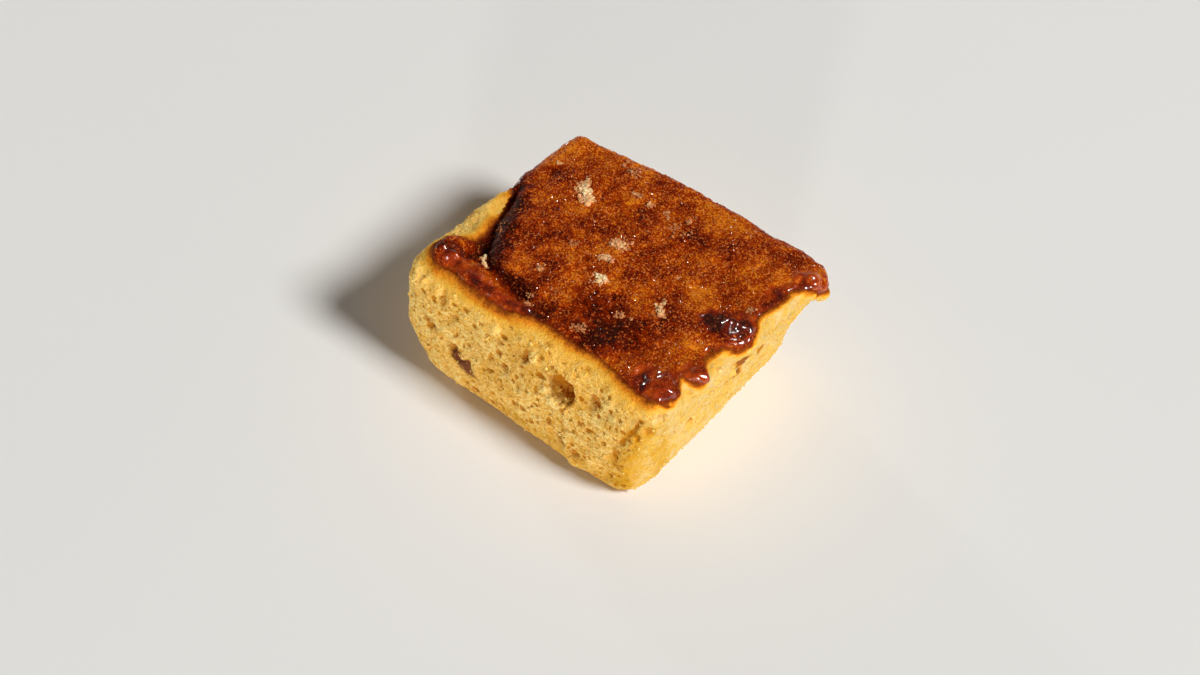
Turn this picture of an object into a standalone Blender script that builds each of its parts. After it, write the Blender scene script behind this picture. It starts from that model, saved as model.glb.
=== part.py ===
"""A slab of sponge cake with a caramelised top, as one closed solid in metres, +Z up.

The slab starts as a box cut into a grid. Its points are then moved in three steps: the edges are
rounded, the sides take their belly, lean and skew, and last the relief is raised and sunk, feature by
feature: the wrinkled crust with its fold, lip and lobes, and the torn crumb with its holes and its crack.

Sizes and places are in millimetres until the mesh is scaled at the end. X runs along the slab, the torn
side faces -Y, the end with the overhanging crust faces +X, and the slab stands on Z = 0.
"""

import math

import bmesh
import bpy
from mathutils import Vector, noise

# ---------------------------------------------- driving dimensions, in millimetres
METRES_PER_MM = 0.001
HEIGHT = 33.0
HALF_LENGTH = 36.0  # of the plain block, before its ends take their belly
HALF_WIDTH = 27.0
FACET = 1.55  # side of a facet of the grid

# How far each end reaches from the middle at the base, at the belly and under the crust, and the X shift
# of its base and of its crust for each millimetre of Y.
LEFT_END = {
    "base": 31.5, "belly": 39.6, "crust": 37.4, "belly_height": 12.0, "base_skew": 0.0, "crust_skew": 0.12,
}
RIGHT_END = {
    "base": 24.5, "belly": 30.0, "crust": 33.8, "belly_height": 11.0, "base_skew": -0.03, "crust_skew": 0.1,
}
# How far the long sides reach at the base and under the crust, the height above which they lean, and how
# much further out their crust is at the right end.
FRONT_SIDE = {"base": 31.2, "crust": 27.8, "lean_from": 10.0, "tilt": 1.0}
BACK_SIDE = {"base": 25.4, "crust": 27.8, "lean_from": 4.0, "tilt": 2.6}
BACK_BOW = 1.6  # how far the middle of the back edge bows out

BASE_ROUND = 2.6  # radius of the edges round the underside
CRUST_ROUND = 3.0  # radius of the edges round the crust
FRONT_SHOULDER = 2.6  # what the shoulder above the torn side adds to that radius
LEFT_SHOULDER = 1.2  # what the shoulder above the left end adds to it
BASE_CORNER = 8.0  # radius of the upright corners at the base
CRUST_CORNER = 4.0  # and at the crust
FLAT_BELOW = 0.01  # the underside is everything lower than this
RELIEF_FROM = 3.0  # height over which the relief fades in above the underside

# ---------------------------------------------- relief of the crust: places are (x, y)
CROWN = 0.7  # how far the middle of the crust stands above its rim
SWELL = {"size": 0.6, "wave": 10.0}
GRAIN = {"size": 0.18, "wave": 3.4}

# Grooves and ridges: a path, half its width, and its height (below zero for a groove).
FOLD = {
    "path": ((-34.0, 1.5), (-32.4, -3.4), (-30.6, -8.3), (-29.2, -13.0), (-28.0, -16.6)),
    "half": 2.7, "rise": -2.8,
}
CREASE = {
    "path": ((-27.4, -15.5), (-24.0, -18.4), (-18.5, -20.6), (-12.0, -21.2), (-5.0, -20.9)),
    "half": 1.9, "rise": -1.8,
}
LIP = {"path": ((-33.0, -24.0), (-25.0, -24.0), (-16.0, -24.6), (-8.0, -23.6)), "half": 4.0, "rise": 1.5}
BARE_WEDGE = {"path": ((-36.4, -14.5), (-35.4, -9.0), (-34.0, -2.5)), "half": 3.9, "rise": -2.2}
BACK_CREASE = {"path": ((-34.5, 3.0), (-31.5, 6.5), (-29.0, 12.0)), "half": 2.0, "rise": -0.7}
CRUST_LINES = (FOLD, CREASE, LIP, BARE_WEDGE, BACK_CREASE)

# Rounded knobs and hollows: a centre, a radius and a height.
CRUST_SPOTS = (
    {"at": (-33.6, -20.8), "radius": 5.5, "rise": 2.0},  # the knob of the left corner
    {"at": (-31.5, 21.8), "radius": 4.5, "rise": 0.9},  # the tip of the back corner
    {"at": (29.4, -21.6), "radius": 4.2, "rise": 0.9},  # the glossy blister of the front corner
    {"at": (26.2, -17.6), "radius": 3.4, "rise": 0.5},
    {"at": (32.3, -12.4), "radius": 2.9, "rise": 1.1},  # the small round blister beside it
    {"at": (30.0, -6.4), "radius": 4.0, "rise": -1.6},  # where the crust is torn back from the edge
    {"at": (29.6, 2.8), "radius": 4.8, "rise": 1.3},  # the large dark blister
    {"at": (24.6, 0.4), "radius": 2.8, "rise": 0.8},
    {"at": (27.4, 6.0), "radius": 2.2, "rise": -0.7},
    {"at": (33.4, 18.6), "radius": 2.8, "rise": -0.9},
    {"at": (34.2, 24.2), "radius": 4.2, "rise": 1.0},  # the blister of the right corner
    {"at": (6.0, -15.0), "radius": 7.0, "rise": -0.6},
    {"at": (-5.0, 1.5), "radius": 3.0, "rise": 0.5},
    {"at": (-20.0, 11.5), "radius": 3.4, "rise": 0.5},
    {"at": (-15.5, 26.0), "radius": 3.0, "rise": -0.8},
    {"at": (9.0, 27.5), "radius": 2.6, "rise": -0.5},
)

# Lobes and gaps of the crust's rim on the ends: a place along Y, half a width and how far it stands out.
RIM_BAND = {"middle": 30.0, "half": 5.0}  # heights where the rim stands out
RIGHT_RIM = (
    {"at": -21.5, "half": 4.4, "out": 0.9},
    {"at": -16.6, "half": 2.4, "out": -0.7},
    {"at": -12.8, "half": 3.4, "out": 1.3},
    {"at": -6.2, "half": 4.4, "out": -1.5},
    {"at": 2.8, "half": 6.0, "out": 1.6},
    {"at": 10.0, "half": 3.4, "out": -0.6},
    {"at": 18.6, "half": 3.4, "out": -1.1},
    {"at": 24.8, "half": 5.0, "out": 1.7},
)
LEFT_RIM = (
    {"at": 3.0, "half": 5.0, "out": -2.2},
    {"at": 10.0, "half": 3.6, "out": -0.6},
    {"at": -12.5, "half": 4.0, "out": -0.6},
)

# ---------------------------------------------- relief of the torn side: places are (x, z)
TORN_SWELL = {"size": 0.7, "wave": 8.0}
TORN_GRAIN = {"size": 0.22, "wave": 3.6}
# Holes of the crumb: a centre, half a width, half a height, a lean in degrees and a depth.
TORN_HOLES = (
    {"at": (6.8, 22.8), "half": (3.3, 3.5), "lean": 20.0, "deep": 4.2},
    {"at": (-4.2, 25.8), "half": (1.7, 2.3), "lean": 8.0, "deep": 1.9},
    {"at": (-9.4, 18.3), "half": (1.9, 1.7), "lean": 0.0, "deep": 1.6},
    {"at": (14.9, 24.7), "half": (1.9, 2.5), "lean": -14.0, "deep": 1.7},
    {"at": (-28.2, 26.6), "half": (1.5, 3.2), "lean": 0.0, "deep": 1.3},
    {"at": (-24.2, 14.0), "half": (2.1, 2.2), "lean": 0.0, "deep": 1.9},
    {"at": (-20.4, 11.2), "half": (2.8, 1.8), "lean": -30.0, "deep": 1.7},
    {"at": (12.7, 6.6), "half": (2.6, 1.6), "lean": -8.0, "deep": 1.4},
    {"at": (7.2, 7.4), "half": (2.6, 1.5), "lean": 0.0, "deep": 0.9},
    {"at": (29.5, 24.0), "half": (1.9, 2.6), "lean": 0.0, "deep": 0.9},
    {"at": (-30.6, 18.0), "half": (3.2, 1.4), "lean": -32.0, "deep": 0.8},
    {"at": (20.0, 3.4), "half": (7.5, 5.0), "lean": 0.0, "deep": 1.3},
)
HOLE_RIM = 0.35  # height of the torn rim round a hole, as a share of its depth
CRACK = {
    "path": (
        (27.3, 27.0), (26.2, 23.7), (24.4, 19.9), (22.9, 16.9), (22.6, 14.3), (23.1, 11.7), (24.7, 10.2),
    ),
    "half": 1.7, "rise": -1.1,
}
TORN_CRAGS = {"wave": 5.0, "above": 0.2, "size": 1.3}

# ---------------------------------------------- relief of the ends (y, z) and of the back (x, z)
END_SWELL = {"size": 0.6, "wave": 9.0}
END_GRAIN = {"size": 0.22, "wave": 2.7}
RIGHT_HOLES = (
    {"at": (1.8, 24.0), "half": (2.0, 2.4), "lean": 0.0, "deep": 1.5},
    {"at": (4.2, 17.8), "half": (1.7, 2.6), "lean": 24.0, "deep": 1.1},
    {"at": (12.2, 16.4), "half": (1.6, 2.2), "lean": 20.0, "deep": 0.9},
    {"at": (20.0, 22.0), "half": (2.2, 2.0), "lean": 0.0, "deep": 0.9},
    {"at": (-9.0, 9.0), "half": (2.6, 1.8), "lean": 0.0, "deep": 0.9},
)
LEFT_HOLES = (
    {"at": (-9.0, 15.0), "half": (2.2, 3.0), "lean": -10.0, "deep": 1.6},
    {"at": (7.5, 21.5), "half": (1.8, 1.8), "lean": 0.0, "deep": 1.2},
    {"at": (16.0, 11.0), "half": (2.6, 2.0), "lean": 20.0, "deep": 1.3},
)
BACK_HOLES = (
    {"at": (-18.0, 17.5), "half": (2.4, 3.4), "lean": -16.0, "deep": 2.6},
    {"at": (3.5, 11.0), "half": (1.9, 2.2), "lean": 0.0, "deep": 1.7},
    {"at": (12.5, 22.5), "half": (1.7, 2.6), "lean": 14.0, "deep": 1.8},
    {"at": (25.0, 13.0), "half": (2.3, 1.8), "lean": 0.0, "deep": 1.5},
    {"at": (-29.0, 8.5), "half": (2.0, 1.8), "lean": 0.0, "deep": 1.3},
)

# ---------------------------------------------- the browned crust, its outline seen from above
ABOVE_TORN_SIDE = (
    (-35.6, -25.4), (-31.8, -26.1), (-27.7, -25.6), (-23.1, -26.1), (-16.0, -26.5), (-9.9, -25.6),
    (-6.1, -24.1), (-2.3, -23.2), (4.9, -23.8), (12.5, -22.5), (19.8, -24.1), (24.9, -24.9), (30.8, -23.4),
)
ABOVE_RIGHT_END = (
    (31.6, -18.4), (29.8, -15.9), (33.4, -12.6), (31.2, -9.4), (28.0, -7.0), (30.6, -1.9), (34.2, 2.6),
    (32.2, 8.9), (33.4, 15.6), (31.9, 19.1), (35.0, 21.2), (39.0, 25.4),
)
PAST_THE_BACK = ((39.0, 33.0), (-38.0, 31.0), (-39.0, 4.0))  # here only the height ends the crust
ROUND_BARE_WEDGE = (
    (-33.8, 2.4), (-34.6, -2.9), (-33.4, -6.1), (-31.2, -10.4), (-30.1, -15.2), (-32.4, -17.4),
    (-35.4, -16.8), (-37.6, -20.2), (-36.9, -23.7),
)
CRUST_OUTLINE = ABOVE_TORN_SIDE + ABOVE_RIGHT_END + PAST_THE_BACK + ROUND_BARE_WEDGE
CRUST_LOWEST = 28.6  # it curls down over the edges as far as this
CRUST_DRIPS = {"size": 1.8, "wave": 7.0}  # and a little more or less from place to place


def smooth_step(low, high, value):
    """0 below low, 1 above high, and a smooth rise between them."""
    share = min(max((value - low) / (high - low), 0.0), 1.0)
    return share * share * (3.0 - 2.0 * share)


def dome(distance):
    """1 at the centre, 0 at distance 1 and beyond, with a round top and a soft foot."""
    return (1.0 - distance * distance) ** 2 if distance < 1.0 else 0.0


def waves(point, wave, seed):
    """Even noise between about -1 and 1 whose bumps are one wave apart."""
    return noise.noise(point / wave + Vector((seed, 2.0 * seed, -seed)))


# ---------------------------------------------- the block
def gridded_box():
    """A box from -1 to 1, each side cut into facets of about the same size."""
    bm = bmesh.new()
    bmesh.ops.create_cube(bm, size=2.0)
    for axis, length in enumerate((2 * HALF_LENGTH, 2 * HALF_WIDTH, HEIGHT)):
        along = [e for e in bm.edges if abs(e.verts[0].co[axis] - e.verts[1].co[axis]) > 1.0]
        bmesh.ops.subdivide_edges(bm, edges=along, cuts=round(length / FACET) - 1, use_grid_fill=True)
    return bm


def edge_round(share):
    """Radius of the block's rounded edges near a point of the box."""
    front = smooth_step(-0.2, 0.9, -share.y)
    left = smooth_step(0.4, 0.95, -share.x)
    crust = CRUST_ROUND + FRONT_SHOULDER * front + LEFT_SHOULDER * left
    return BASE_ROUND + (crust - BASE_ROUND) * smooth_step(-0.5, 0.5, share.z)


def beyond_core(place, core):
    """How far a place seen from above lies past the core's sides, along X and along Y."""
    return Vector((max(abs(place.x) - core.x, 0.0), max(abs(place.y) - core.y, 0.0)))


def signed_like(amount, place):
    return Vector((math.copysign(amount.x, place.x), math.copysign(amount.y, place.y)))


def round_corner(place, core):
    """Pulls the square of an upright corner, seen from above, into a quarter disc."""
    away = beyond_core(place, core)
    if away.x == 0.0 or away.y == 0.0:
        return place
    return signed_like(core + away * (max(away) / away.length), place)


def way_to_outline(place, core, radius):
    """Distance to the block's rounded outline seen from above, below zero inside it, and the way out."""
    away = beyond_core(place, core)
    if away.length > 0.0:
        return away.length - radius, signed_like(away.normalized(), place)
    past_x = abs(place.x) - core.x
    past_y = abs(place.y) - core.y
    way_out = Vector((1.0, 0.0)) if past_x > past_y else Vector((0.0, 1.0))
    return max(past_x, past_y) - radius, signed_like(way_out, place)


def rounded_point(share):
    """The point of the plain block, its corners and edges rounded, for a point of the box."""
    height = (share.z + 1.0) * HEIGHT / 2
    corner = BASE_CORNER + (CRUST_CORNER - BASE_CORNER) * smooth_step(0.0, HEIGHT, height)
    core = Vector((HALF_LENGTH - corner, HALF_WIDTH - corner))
    place = round_corner(Vector((share.x * HALF_LENGTH, share.y * HALF_WIDTH)), core)
    edge = edge_round(share)
    distance, way_out = way_to_outline(place, core, corner)
    past_edge = distance + edge
    core_height = min(max(height, edge), HEIGHT - edge)
    if past_edge <= 0.0 or height == core_height:
        return Vector((*place, height))
    away = Vector((*(way_out * past_edge), height - core_height))
    core_point = Vector((*(place - way_out * past_edge), core_height))
    return core_point + away.normalized() * max(past_edge, abs(away.z))


def end_reach(end, height):
    """How far an end reaches at a height: out of the underside to its belly, then up to the crust."""
    if height < end["belly_height"]:
        share = 1.0 - height / end["belly_height"]
        return end["base"] + (end["belly"] - end["base"]) * math.sqrt(1.0 - share * share)
    rise = smooth_step(end["belly_height"], HEIGHT, height)
    return end["belly"] + (end["crust"] - end["belly"]) * rise


def side_reach(side, height):
    return side["base"] + (side["crust"] - side["base"]) * smooth_step(side["lean_from"], HEIGHT, height)


def shaped_point(share):
    """The block's point with the ends' belly, the long sides' lean, the skew and the bowed back."""
    point = rounded_point(share)
    height = max(point.z, 0.0)
    end = LEFT_END if point.x < 0 else RIGHT_END
    reach = end_reach(end, height)
    side = side_reach(FRONT_SIDE if point.y < 0 else BACK_SIDE, height)
    along = point.x / HALF_LENGTH
    across = point.y / HALF_WIDTH
    lift = height / HEIGHT
    bow = BACK_BOW * (1.0 - along * along) * smooth_step(0.0, 1.0, across)
    tilt = (FRONT_SIDE if point.y < 0 else BACK_SIDE)["tilt"] * abs(across)
    y = across * side + bow + tilt * lift * along
    skew = end["base_skew"] + (end["crust_skew"] - end["base_skew"]) * lift
    return Vector((along * reach + skew * abs(along) * y, y, point.z))


# ---------------------------------------------- features
def line_rise(line, place):
    """Height that a groove or ridge gives to a place of its plane."""
    nearest = 1e9
    for start, end in zip(line["path"], line["path"][1:]):
        start, end = Vector(start), Vector(end)
        run = end - start
        share = min(max((place - start).dot(run) / run.length_squared, 0.0), 1.0)
        nearest = min(nearest, (place - start - run * share).length)
    return line["rise"] * dome(nearest / line["half"])


def spot_rise(spot, place):
    return spot["rise"] * dome((place - Vector(spot["at"])).length / spot["radius"])


def hole_rise(hole, place):
    """Height that a leaning oval hole and its torn rim give to a place of its plane."""
    lean = math.radians(hole["lean"])
    away = place - Vector(hole["at"])
    across = (away.x * math.cos(lean) + away.y * math.sin(lean)) / hole["half"][0]
    along = (away.y * math.cos(lean) - away.x * math.sin(lean)) / hole["half"][1]
    distance = math.hypot(across, along)
    rim = dome(abs(distance - 1.15) / 0.45) * HOLE_RIM * min(hole["deep"], 1.5)
    return rim - hole["deep"] * dome(distance / 1.15)


def rim_out(rim, y, height):
    """How far the crust's rim stands out at a place along an end."""
    band = dome(abs(height - RIM_BAND["middle"]) / RIM_BAND["half"])
    return band * sum(lobe["out"] * dome(abs(y - lobe["at"]) / lobe["half"]) for lobe in rim)


def crust_relief(point):
    place = point.xy
    inward = 1.0 - max((place.x / HALF_LENGTH) ** 2, (place.y / HALF_WIDTH) ** 2)
    rise = CROWN * smooth_step(0.0, 0.7, inward)
    rise += SWELL["size"] * waves(point, SWELL["wave"], 3.0)
    rise += GRAIN["size"] * waves(point, GRAIN["wave"], 5.0)
    rise += sum(line_rise(line, place) for line in CRUST_LINES)
    return rise + sum(spot_rise(spot, place) for spot in CRUST_SPOTS)


def torn_relief(point, holes, cracks):
    """Relief of a side of open crumb, whose crags stand out where the noise is high."""
    place = Vector((point.x, point.z))
    rise = TORN_SWELL["size"] * waves(point, TORN_SWELL["wave"], 11.0)
    rise += TORN_GRAIN["size"] * waves(point, TORN_GRAIN["wave"], 13.0)
    crag = waves(point, TORN_CRAGS["wave"], 17.0) - TORN_CRAGS["above"]
    rise += TORN_CRAGS["size"] * max(crag, 0.0)
    rise += sum(line_rise(crack, place) for crack in cracks)
    return rise + sum(hole_rise(hole, place) for hole in holes)


def end_relief(point, rim, holes):
    place = Vector((point.y, point.z))
    rise = END_SWELL["size"] * waves(point, END_SWELL["wave"], 19.0)
    rise += END_GRAIN["size"] * waves(point, END_GRAIN["wave"], 23.0)
    return rise + rim_out(rim, point.y, point.z) + sum(hole_rise(hole, place) for hole in holes)


def relief(point, normal):
    """Height of the surface above the shaped block along its normal, blended from the sides it faces."""
    if normal.y < 0.0:
        across = torn_relief(point, TORN_HOLES, (CRACK,))
    else:
        across = torn_relief(point, BACK_HOLES, ())
    if normal.x > 0.0:
        along = end_relief(point, RIGHT_RIM, RIGHT_HOLES)
    else:
        along = end_relief(point, LEFT_RIM, LEFT_HOLES)
    upward = crust_relief(point) if normal.z > 0.0 else 0.0
    rise = normal.x**2 * along + normal.y**2 * across + normal.z**2 * upward
    return rise * smooth_step(0.0, RELIEF_FROM, point.z)


# ---------------------------------------------- the solid
def slab_mesh():
    bm = gridded_box()
    for vertex in bm.verts:
        vertex.co = shaped_point(vertex.co)
    bm.normal_update()
    moves = [vertex.normal * relief(vertex.co, vertex.normal) for vertex in bm.verts]
    for vertex, move in zip(bm.verts, moves):
        vertex.co += move
        vertex.co.z = max(vertex.co.z, 0.0)
    flatten_underside(bm)
    bmesh.ops.scale(bm, vec=(METRES_PER_MM,) * 3, verts=bm.verts)
    return bm


def flatten_underside(bm):
    """Makes one face of the grid's facets under the slab, as they all lie in its plane."""
    flat = [face for face in bm.faces if all(vertex.co.z < FLAT_BELOW for vertex in face.verts)]
    for face in flat:
        for vertex in face.verts:
            vertex.co.z = 0.0
    bmesh.ops.dissolve_faces(bm, faces=flat, use_verts=False)


def is_inside(outline, x, y):
    """Whether a ray from the place towards +X leaves the outline once more than it enters it."""
    inside = False
    for (x1, y1), (x2, y2) in zip(outline, outline[1:] + outline[:1]):
        if (y1 > y) != (y2 > y) and x < x1 + (y - y1) * (x2 - x1) / (y2 - y1):
            inside = not inside
    return inside


def is_crust(centre):
    """Whether the facet centred there lies in the browned crust."""
    lowest = CRUST_LOWEST + CRUST_DRIPS["size"] * waves(centre, CRUST_DRIPS["wave"], 29.0)
    return centre.z > lowest and is_inside(CRUST_OUTLINE, centre.x, centre.y)


def principled_material(name, color, roughness):
    material = bpy.data.materials.new(name)
    material.use_nodes = True
    shader = material.node_tree.nodes["Principled BSDF"]
    shader.inputs["Base Color"].default_value = (*color, 1.0)
    shader.inputs["Roughness"].default_value = roughness
    shader.inputs["Metallic"].default_value = 0.0
    return material


def sponge_cake(collection):
    """The slab as an object, its crumb and its crust in their own colours."""
    bm = slab_mesh()
    crumb, crust = 0, 1
    for face in bm.faces:
        face.smooth = True
        face.material_index = crust if is_crust(face.calc_center_median() / METRES_PER_MM) else crumb
    mesh = bpy.data.meshes.new("sponge_cake")
    bm.to_mesh(mesh)
    bm.free()
    mesh.materials.append(principled_material("golden_crumb", (0.72, 0.43, 0.12), 0.85))
    mesh.materials.append(principled_material("caramelised_crust", (0.33, 0.055, 0.006), 0.35))
    cake = bpy.data.objects.new("sponge_cake", mesh)
    collection.objects.link(cake)
    return cake


def main():
    for leftover in list(bpy.data.objects):
        bpy.data.objects.remove(leftover)
    collection = bpy.data.collections.new("sponge_cake_slab")
    bpy.context.scene.collection.children.link(collection)
    sponge_cake(collection)


main()
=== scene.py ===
"""Finish of a slab of sponge cake: open golden crumb under a browned, sugared crust.

The slab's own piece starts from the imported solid: its triangles are joined to quads and smoothed to facets
of about 0.4 mm, and its points then take the pores, holes, crags, grain, wrinkles and blisters. Sugar
grains, pale clumps and clinging crumbs are pieces of their own. Places are in millimetres in the frame of
the solid: X along the slab, -Y out of the torn side, +X out of the end with the overhanging crust, Z up
from the underside.
"""

import math
import random

import bmesh
import bpy
import numpy as np
from mathutils import Matrix, Vector, noise
from mathutils.kdtree import KDTree


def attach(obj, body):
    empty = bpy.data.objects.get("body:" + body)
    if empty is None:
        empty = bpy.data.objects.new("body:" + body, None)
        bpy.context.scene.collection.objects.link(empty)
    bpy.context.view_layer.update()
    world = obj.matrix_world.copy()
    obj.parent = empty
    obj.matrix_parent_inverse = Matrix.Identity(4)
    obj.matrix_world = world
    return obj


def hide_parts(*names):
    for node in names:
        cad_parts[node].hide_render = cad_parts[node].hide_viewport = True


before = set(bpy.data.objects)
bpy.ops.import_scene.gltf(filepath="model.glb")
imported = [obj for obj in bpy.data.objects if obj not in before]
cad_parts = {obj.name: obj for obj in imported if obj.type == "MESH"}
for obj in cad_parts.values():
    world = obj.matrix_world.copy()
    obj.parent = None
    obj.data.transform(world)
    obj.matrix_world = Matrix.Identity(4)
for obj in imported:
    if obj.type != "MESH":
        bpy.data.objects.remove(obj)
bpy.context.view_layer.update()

bl_info = {
    "name": "Sponge cake finish",
    "version": (1, 0, 0),
    "blender": (4, 5, 0),
    "location": "3D View > Sidebar > Sponge cake",
    "description": "Crumb, crust, sugar and stage for a slab of sponge cake",
    "category": "Object",
}

NODE = "sponge_cake"
BODY = "root"
MM = 0.001


def rows_of(names, *rows):
    """Marks from rows of values; the names say what each value of a row is."""
    return tuple(dict(zip(names.split(), row)) for row in rows)


# A mark lies at a point or along a path. Its half width or its radius says how far it reaches, rise how high
# it stands in millimetres, and much how strongly it shows.

# ---------------------------------------------- where the crust ends, seen from above: (x, y)
ABOVE_TORN_SIDE = (
    (-34.6, -25.2), (-31.8, -26.0), (-27.7, -25.6), (-23.1, -26.1), (-16.0, -26.5), (-9.9, -25.6),
    (-6.1, -24.1), (-2.3, -23.2), (4.9, -23.8), (12.5, -22.5), (19.8, -24.1), (24.9, -24.9), (30.4, -23.6),
)
ABOVE_RIGHT_END = (
    (32.2, -20.6), (32.0, -18.2), (29.4, -17.0), (28.6, -15.4), (30.8, -15.0), (33.6, -14.2), (34.0, -12.0),
    (32.2, -10.4), (29.8, -8.6), (29.2, -6.6), (30.2, -3.8), (32.2, -2.6), (34.4, -1.0), (34.8, 2.0),
    (33.6, 5.4), (31.6, 7.6), (32.2, 10.2), (33.4, 15.6), (31.9, 19.1), (35.0, 21.2), (39.0, 25.4),
)
PAST_THE_BACK = ((39.0, 33.0), (-38.0, 31.0), (-39.0, 4.0))  # here only the height ends the crust
ROUND_BARE_WEDGE = (
    (-34.0, 2.4), (-33.6, -1.6), (-32.4, -5.4), (-30.6, -10.4), (-30.2, -15.4), (-32.0, -17.0),
    (-34.2, -17.4), (-35.8, -20.4), (-35.8, -23.2),
)
CRUST_CORNERS = ABOVE_TORN_SIDE + ABOVE_RIGHT_END + PAST_THE_BACK + ROUND_BARE_WEDGE
EDGE_HEIGHT = 31.3  # of the crust's edge above the torn side
CRUST_LOWEST = 28.6  # it curls down over the other edges as far as this
CRUST_DRIPS = {"size": 1.8, "wave": 7.0}  # and a little more or less from place to place
LOBES_END_HIGHER = 1.8  # the lobes over the right end end this much higher

# ---------------------------------------------- features of the crust: places are (x, y)
FOLD = ((-34.0, 1.5), (-32.4, -3.4), (-30.6, -8.3), (-29.2, -13.0), (-28.0, -16.6))
CREASE = ((-27.4, -15.5), (-24.0, -18.4), (-18.5, -20.6), (-12.0, -21.2), (-5.0, -20.9))
LIP_HALF = 4.0
LIP = ((-35.0, -21.5), (-31.0, -23.0), (-25.0, -23.6), (-16.0, -24.4), (-8.0, -23.6))
GROOVES = rows_of(
    "path half rise",
    (FOLD, 2.4, -0.4),
    (CREASE, 1.1, -0.7),
    (((-33.6, -21.4), (-30.6, -20.4), (-28.4, -20.8)), 0.9, -0.5),
    (((-24.0, -22.6), (-19.0, -23.2), (-15.0, -22.8)), 0.8, -0.4),
    (((-21.4, -19.7), (-16.7, -21.4)), 0.6, 0.4),
)
# Blisters and hollows of the caramel.
BLISTERS = rows_of(
    "at radius rise",
    ((28.2, -20.6), 3.6, 1.4),
    ((31.0, -19.0), 1.8, 0.7),
    ((25.6, -21.0), 1.4, 0.3),
    ((27.0, -17.2), 1.3, 0.35),
    ((29.2, -18.0), 1.0, -0.5),
    ((31.6, -12.2), 2.6, 1.5),
    ((29.4, -13.8), 1.1, 0.35),
    ((29.0, 1.0), 3.4, 1.4),
    ((31.6, 3.4), 2.2, 0.8),
    ((26.2, 0.6), 1.5, 0.5),
    ((23.6, 0.6), 1.3, 0.35),
    ((27.3, 3.2), 0.9, -0.5),
    ((28.6, 6.6), 1.1, 0.35),
    ((30.6, 9.0), 1.5, 0.3),
    ((34.4, 23.8), 2.8, 1.2),
    ((31.2, 22.6), 2.0, 0.7),
    ((32.0, 17.0), 1.5, 0.3),
    ((-33.6, -22.6), 2.0, 0.4),
    ((-29.5, -22.6), 1.8, 0.35),
    ((10.6, 20.0), 0.7, -0.5),
)
# Dips between the lumps of caramel, where the crumb shows.
NOTCHES = rows_of(
    "at radius rise",
    ((31.6, -6.8), 3.4, -0.8),
    ((31.6, -16.6), 2.0, -0.8),
)
# Places where the caramel is smooth, wrinkled and shines.
GLOSSY = rows_of(
    "path half much",
    (LIP[1:], LIP_HALF, 1.2),
    (((24.0, -20.6), (31.0, -20.2)), 5.6, 1.8),
    (((29.6, -13.5), (33.0, -12.0)), 3.8, 1.8),
    (((24.5, 0.6), (30.5, 3.0), (32.4, 9.0)), 4.6, 1.8),
    (((31.0, 16.0), (33.5, 24.5)), 4.8, 1.0),
    (((-34.0, 28.0), (36.0, 29.5)), 3.4, 0.35),
    (((4.0, -17.0), (17.0, -19.0)), 5.0, 0.3),
)
# Places baked darker, and lighter, than the rest of the crust.
SCORCHED = rows_of(
    "path half much",
    (((-33.0, -0.4), (-30.6, -5.6), (-28.0, -11.3), (-25.6, -16.0)), 6.6, 1.8),
    (((-12.0, -22.0), (6.0, -21.0)), 4.6, 0.5),
    (((-30.0, 29.6), (33.0, 30.4)), 3.0, 0.5),
    (((-26.0, -16.2), (-20.0, -18.8), (-11.3, -19.6)), 2.8, 1.2),
    (((1.5, -14.0), (7.0, -14.8), (14.0, -14.0)), 8.6, 1.1),
    (((4.0, -20.5), (13.0, -20.0)), 4.0, 0.4),
    (((-24.5, -6.8), (-15.7, -3.2)), 4.0, 0.4),
    (((-30.6, 11.2), (-29.2, 11.8)), 2.4, 0.9),
    (((-32.4, 3.2), (-31.0, 4.2)), 2.2, 0.8),
    (((24.6, 0.4), (31.0, 2.6)), 3.9, 0.8),
    (((29.4, -0.6), (31.8, 4.8)), 2.4, 0.4),
    (((-33.6, -22.0), (-29.6, -20.6)), 3.6, 1.1),
    (((-31.0, -25.0), (-28.8, -24.2)), 1.8, 0.5),
    (((-23.0, -24.6), (-12.0, -24.6), (-4.0, -22.6)), 1.6, 0.55),
    (((5.0, 14.6), (7.5, 16.4)), 3.0, 0.4),
    (((24.0, -21.5), (29.0, -21.6)), 3.4, 0.3),
    (((33.0, 10.0), (32.6, 17.0)), 2.0, 0.35),
)
AMBER = rows_of(
    "path half much",
    (((-3.5, -9.5), (-1.0, -7.5)), 6.0, 0.8),
    (((15.0, 12.0), (20.0, 9.5)), 7.5, 0.55),
    (((-33.0, 11.0), (-32.2, 12.6)), 3.0, 0.7),
    (((-26.4, 3.0), (-25.0, 4.4)), 5.0, 0.5),
    (((-14.6, -6.2), (-12.6, -4.6)), 4.4, 0.6),
    (((17.6, 3.0), (20.2, 4.6)), 5.4, 0.7),
    (((22.0, -9.0), (27.0, -6.5)), 4.6, 0.7),
    (((-26.0, 18.0), (-12.0, 22.0)), 10.0, 0.75),
    (((18.0, -15.4), (23.0, -16.4)), 7.0, 1.0),
    (((-21.0, 8.0), (-17.0, 12.0)), 5.4, 0.4),
    (((-29.0, -20.0), (-22.0, -22.6)), 3.4, 0.8),
    (((-22.0, -22.8), (-9.0, -23.0)), 2.6, 0.6),
    # Along the back the crust is lighter: partly lighter caramel, partly a painted sheen where the back of
    # the crust catches the light.
    (((-22.0, 26.5), (20.0, 27.0)), 5.0, 0.6),
)
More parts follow.
